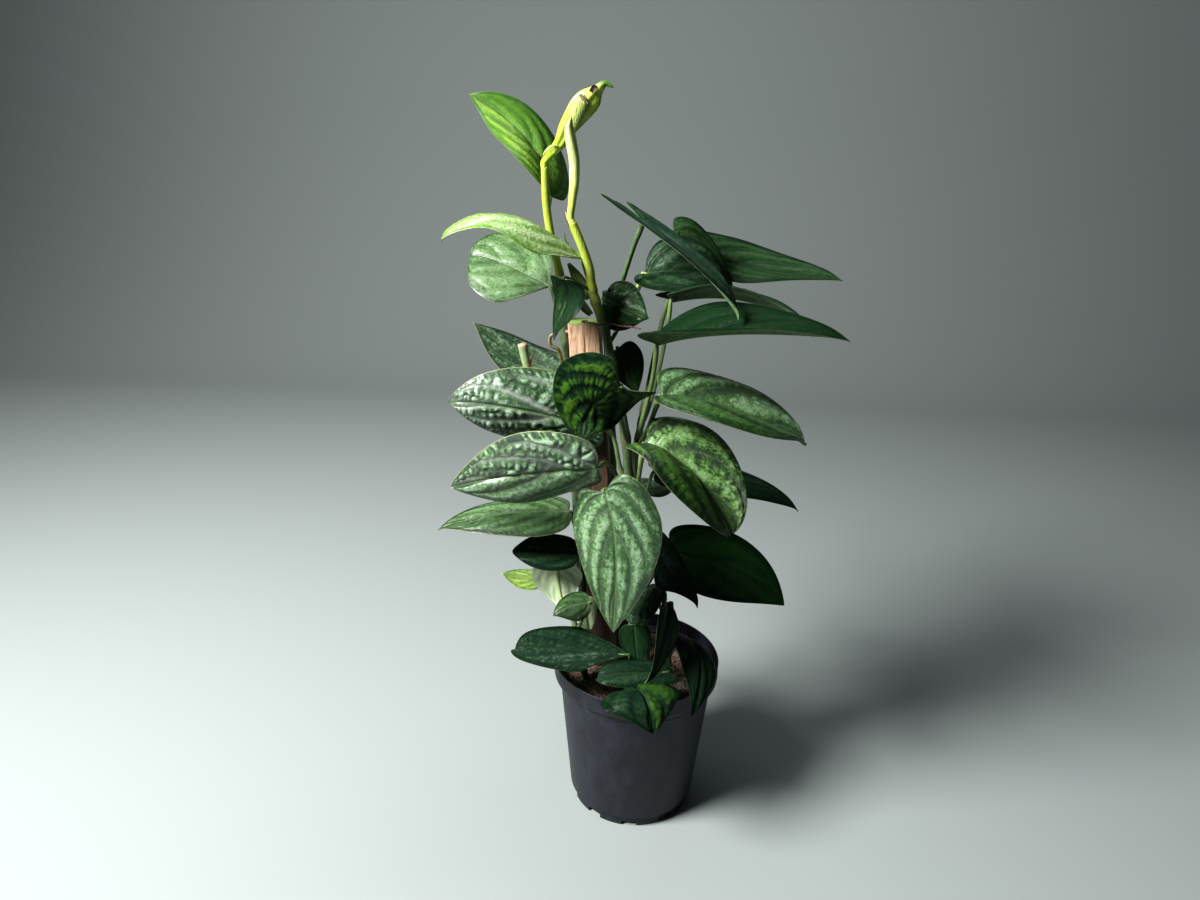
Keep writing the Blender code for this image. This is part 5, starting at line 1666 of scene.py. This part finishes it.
def bract_finish():
    """A thin lined scale, green where it is fresh and brown along its dried edge."""
    finish, tree, shader = new_finish("bract_skin", 0.5, specular=0.4)
    fresh, edge = painted(tree, "fresh"), painted(tree, "edge")
    lines = mottled(tree, (800, 800, 90), 0.35, 0.65)
    colour = layered(tree, GREY_SKIN, (fresh, 1, FRESH_SCALE), (lines, 0.35, OLD_SKIN),
                     (edge, 0.7, DRIED))
    dress(tree, shader, colour, lines, 0.0004)
    return finish


bract_skin = bract_finish()
for name, (points, widths, cup, fresh) in BRACTS.items():
    route = smooth_route(points, BRACT_ROWS // (len(points) - 1))
    wide = np.interp(np.linspace(0, len(widths) - 1, len(route)), np.arange(len(widths)), widths)
    spread = np.linspace(-1, 1, BRACT_COLUMNS)

    def section(t):
        half_width = wide[round(t * (len(route) - 1))]
        outer = [(half_width * math.sin(BRACT_ARC * x) / BRACT_SPAN,
                  cup * half_width * (1 - math.cos(BRACT_ARC * x))) for x in spread]
        inner = [(x * 0.97, y + BRACT_SHEET) for x, y in outer]
        return outer + inner[::-1]

    bract = made_piece(name, np.array(swept(route, section)) * MM,
                       closed_tube(len(route), 2 * BRACT_COLUMNS), [bract_skin])
    edge = np.clip((np.abs(np.concatenate([spread, spread[::-1]])) - 0.75) / 0.25, max(-fresh, 0), 1)
    paint(bract, edge=np.tile(edge, len(route)),
          fresh=np.full(len(bract.data.vertices), max(fresh, 0.0)))
    stands_for(bract, "stem_skin")

NUB_SIDES = 12
# name: stem and height, direction, length, radius
ROOT_NUBS = {
    "root_nub_high": (("left_stem", 500), (0.75, -0.65, -0.1), 5, 1.6),
    "root_nub_middle": (("left_stem", 452), (-0.6, -0.75, 0.5), 9, 0.9),
    "root_nub_front": (("front_stem", 508), (-0.9, -0.2, 0.35), 8, 1.1),
    "root_nub_low": (("left_stem", 345), (0.5, -0.8, -0.2), 5, 1.3),
    "root_nub_right": (("right_stem", 280), (0.7, -0.6, -0.3), 6, 1.3),
    "root_nub_back": (("back_stem", 340), (0.3, 0.9, -0.2), 7, 1.4),
}
for name, (place, direction, length, radius) in ROOT_NUBS.items():
    middle, way, stem_radius = stem_at(*place)
    heading = Vector(direction).normalized()
    foot = middle + heading * float(stem_radius - 1)
    route = smooth_route([foot, foot + heading * length * 0.6,
                          foot + heading * length - Vector((0, 0, 0.15 * length))], 8)
    radii = radius * np.linspace(1.25, 0.55, len(route))
    nub = rounded_tube(name, route, radii, NUB_SIDES, stem_skin, dome=0.9)
    count = len(nub.data.vertices)
    paint(nub, fresh=np.zeros(count), node=np.full(count, 0.6), cut=np.full(count, 0.55))
    stands_for(nub, "stem_skin")

# ------------------------------------------------------------------------------ stage
# A plain pale floor that sweeps up behind the plant, soft lights and the camera.

BACKDROP = (0.28, 0.31, 0.31)
SWEEP_START = 1.5
SWEEP_RADIUS = 0.8
SWEEP_STEPS = 16
FLOOR_FRONT, WALL_TOP, HALF_WIDTH = -4.0, 4.0, 5.0
# name: place, height it is turned to, width, watts, colour
LIGHTS = {
    "key": ((-1.15, -0.7, 1.5), 0.35, 0.7, 95, (1.0, 0.99, 0.96)),
    "fill": ((1.4, -1.3, 0.9), 0.35, 1.4, 0.3, (0.9, 0.96, 1.0)),
    "overhead": ((0.2, 0.3, 1.9), 0.4, 0.6, 5.5, (0.95, 1.0, 1.0)),
}
SKY = (0.75, 0.85, 0.9)
SKY_STRENGTH = 0.032
CAMERA_PLACE = Vector((-0.002, -0.745, 0.66))
CAMERA_YAW = math.radians(-3.15)
CAMERA_PITCH = math.radians(-19.9)
CAMERA_ROLL = math.radians(1.4)
LENS_LENGTH, FILM_WIDTH = 25, 36     # mm


def backdrop():
    """A floor that curves up into a wall."""
    profile = [(FLOOR_FRONT, 0.0), (SWEEP_START, 0.0)]
    for step in range(1, SWEEP_STEPS + 1):
        turn = math.pi / 2 * step / SWEEP_STEPS
        profile.append((SWEEP_START + SWEEP_RADIUS * math.sin(turn),
                        SWEEP_RADIUS * (1 - math.cos(turn))))
    profile.append((SWEEP_START + SWEEP_RADIUS, WALL_TOP))
    points = [(x, y, z) for y, z in profile for x in (-HALF_WIDTH, HALF_WIDTH)]
    faces = [(2 * row, 2 * row + 1, 2 * row + 3, 2 * row + 2) for row in range(len(profile) - 1)]
    finish, _, shader = new_finish("backdrop_paper", 0.9, specular=0.1)
    shader.inputs["Base Color"].default_value = socket_value(BACKDROP)
    return made_piece("backdrop", points, faces, [finish])


floor = backdrop()


def soft_light(name, place, target, size, energy, colour):
    """A round soft light, turned to a target."""
    lamp = bpy.data.lights.new(name, "AREA")
    lamp.shape = "DISK"
    lamp.size = size
    lamp.energy = energy
    lamp.color = colour
    holder = bpy.data.objects.new(name, lamp)
    holder.location = place
    holder.rotation_euler = (Vector(target) - Vector(place)).to_track_quat("-Z", "Y").to_euler()
    bpy.context.scene.collection.objects.link(holder)


for name, (place, target_height, size, energy, colour) in LIGHTS.items():
    soft_light(name, place, (0, 0, target_height), size, energy, colour)

surroundings = bpy.data.worlds.new("studio")
surroundings.use_nodes = True
sky = surroundings.node_tree.nodes["Background"]
sky.inputs["Color"].default_value = socket_value(SKY)
sky.inputs["Strength"].default_value = SKY_STRENGTH
bpy.context.scene.world = surroundings
bpy.context.scene.view_settings.view_transform = "Standard"
bpy.context.scene.view_settings.look = "Medium High Contrast"

lens = bpy.data.cameras.new("camera")
lens.sensor_width = FILM_WIDTH
lens.lens = LENS_LENGTH
lens.clip_start = 0.01
camera = bpy.data.objects.new("camera", lens)
level = Quaternion((0, 0, 1), -CAMERA_YAW) @ Quaternion((1, 0, 0), math.pi / 2 + CAMERA_PITCH)
camera.rotation_mode = "QUATERNION"
camera.rotation_quaternion = level @ Quaternion((0, 0, 1), CAMERA_ROLL)
camera.location = CAMERA_PLACE
bpy.context.scene.collection.objects.link(camera)
bpy.context.scene.camera = camera

bpy.context.view_layer.update()
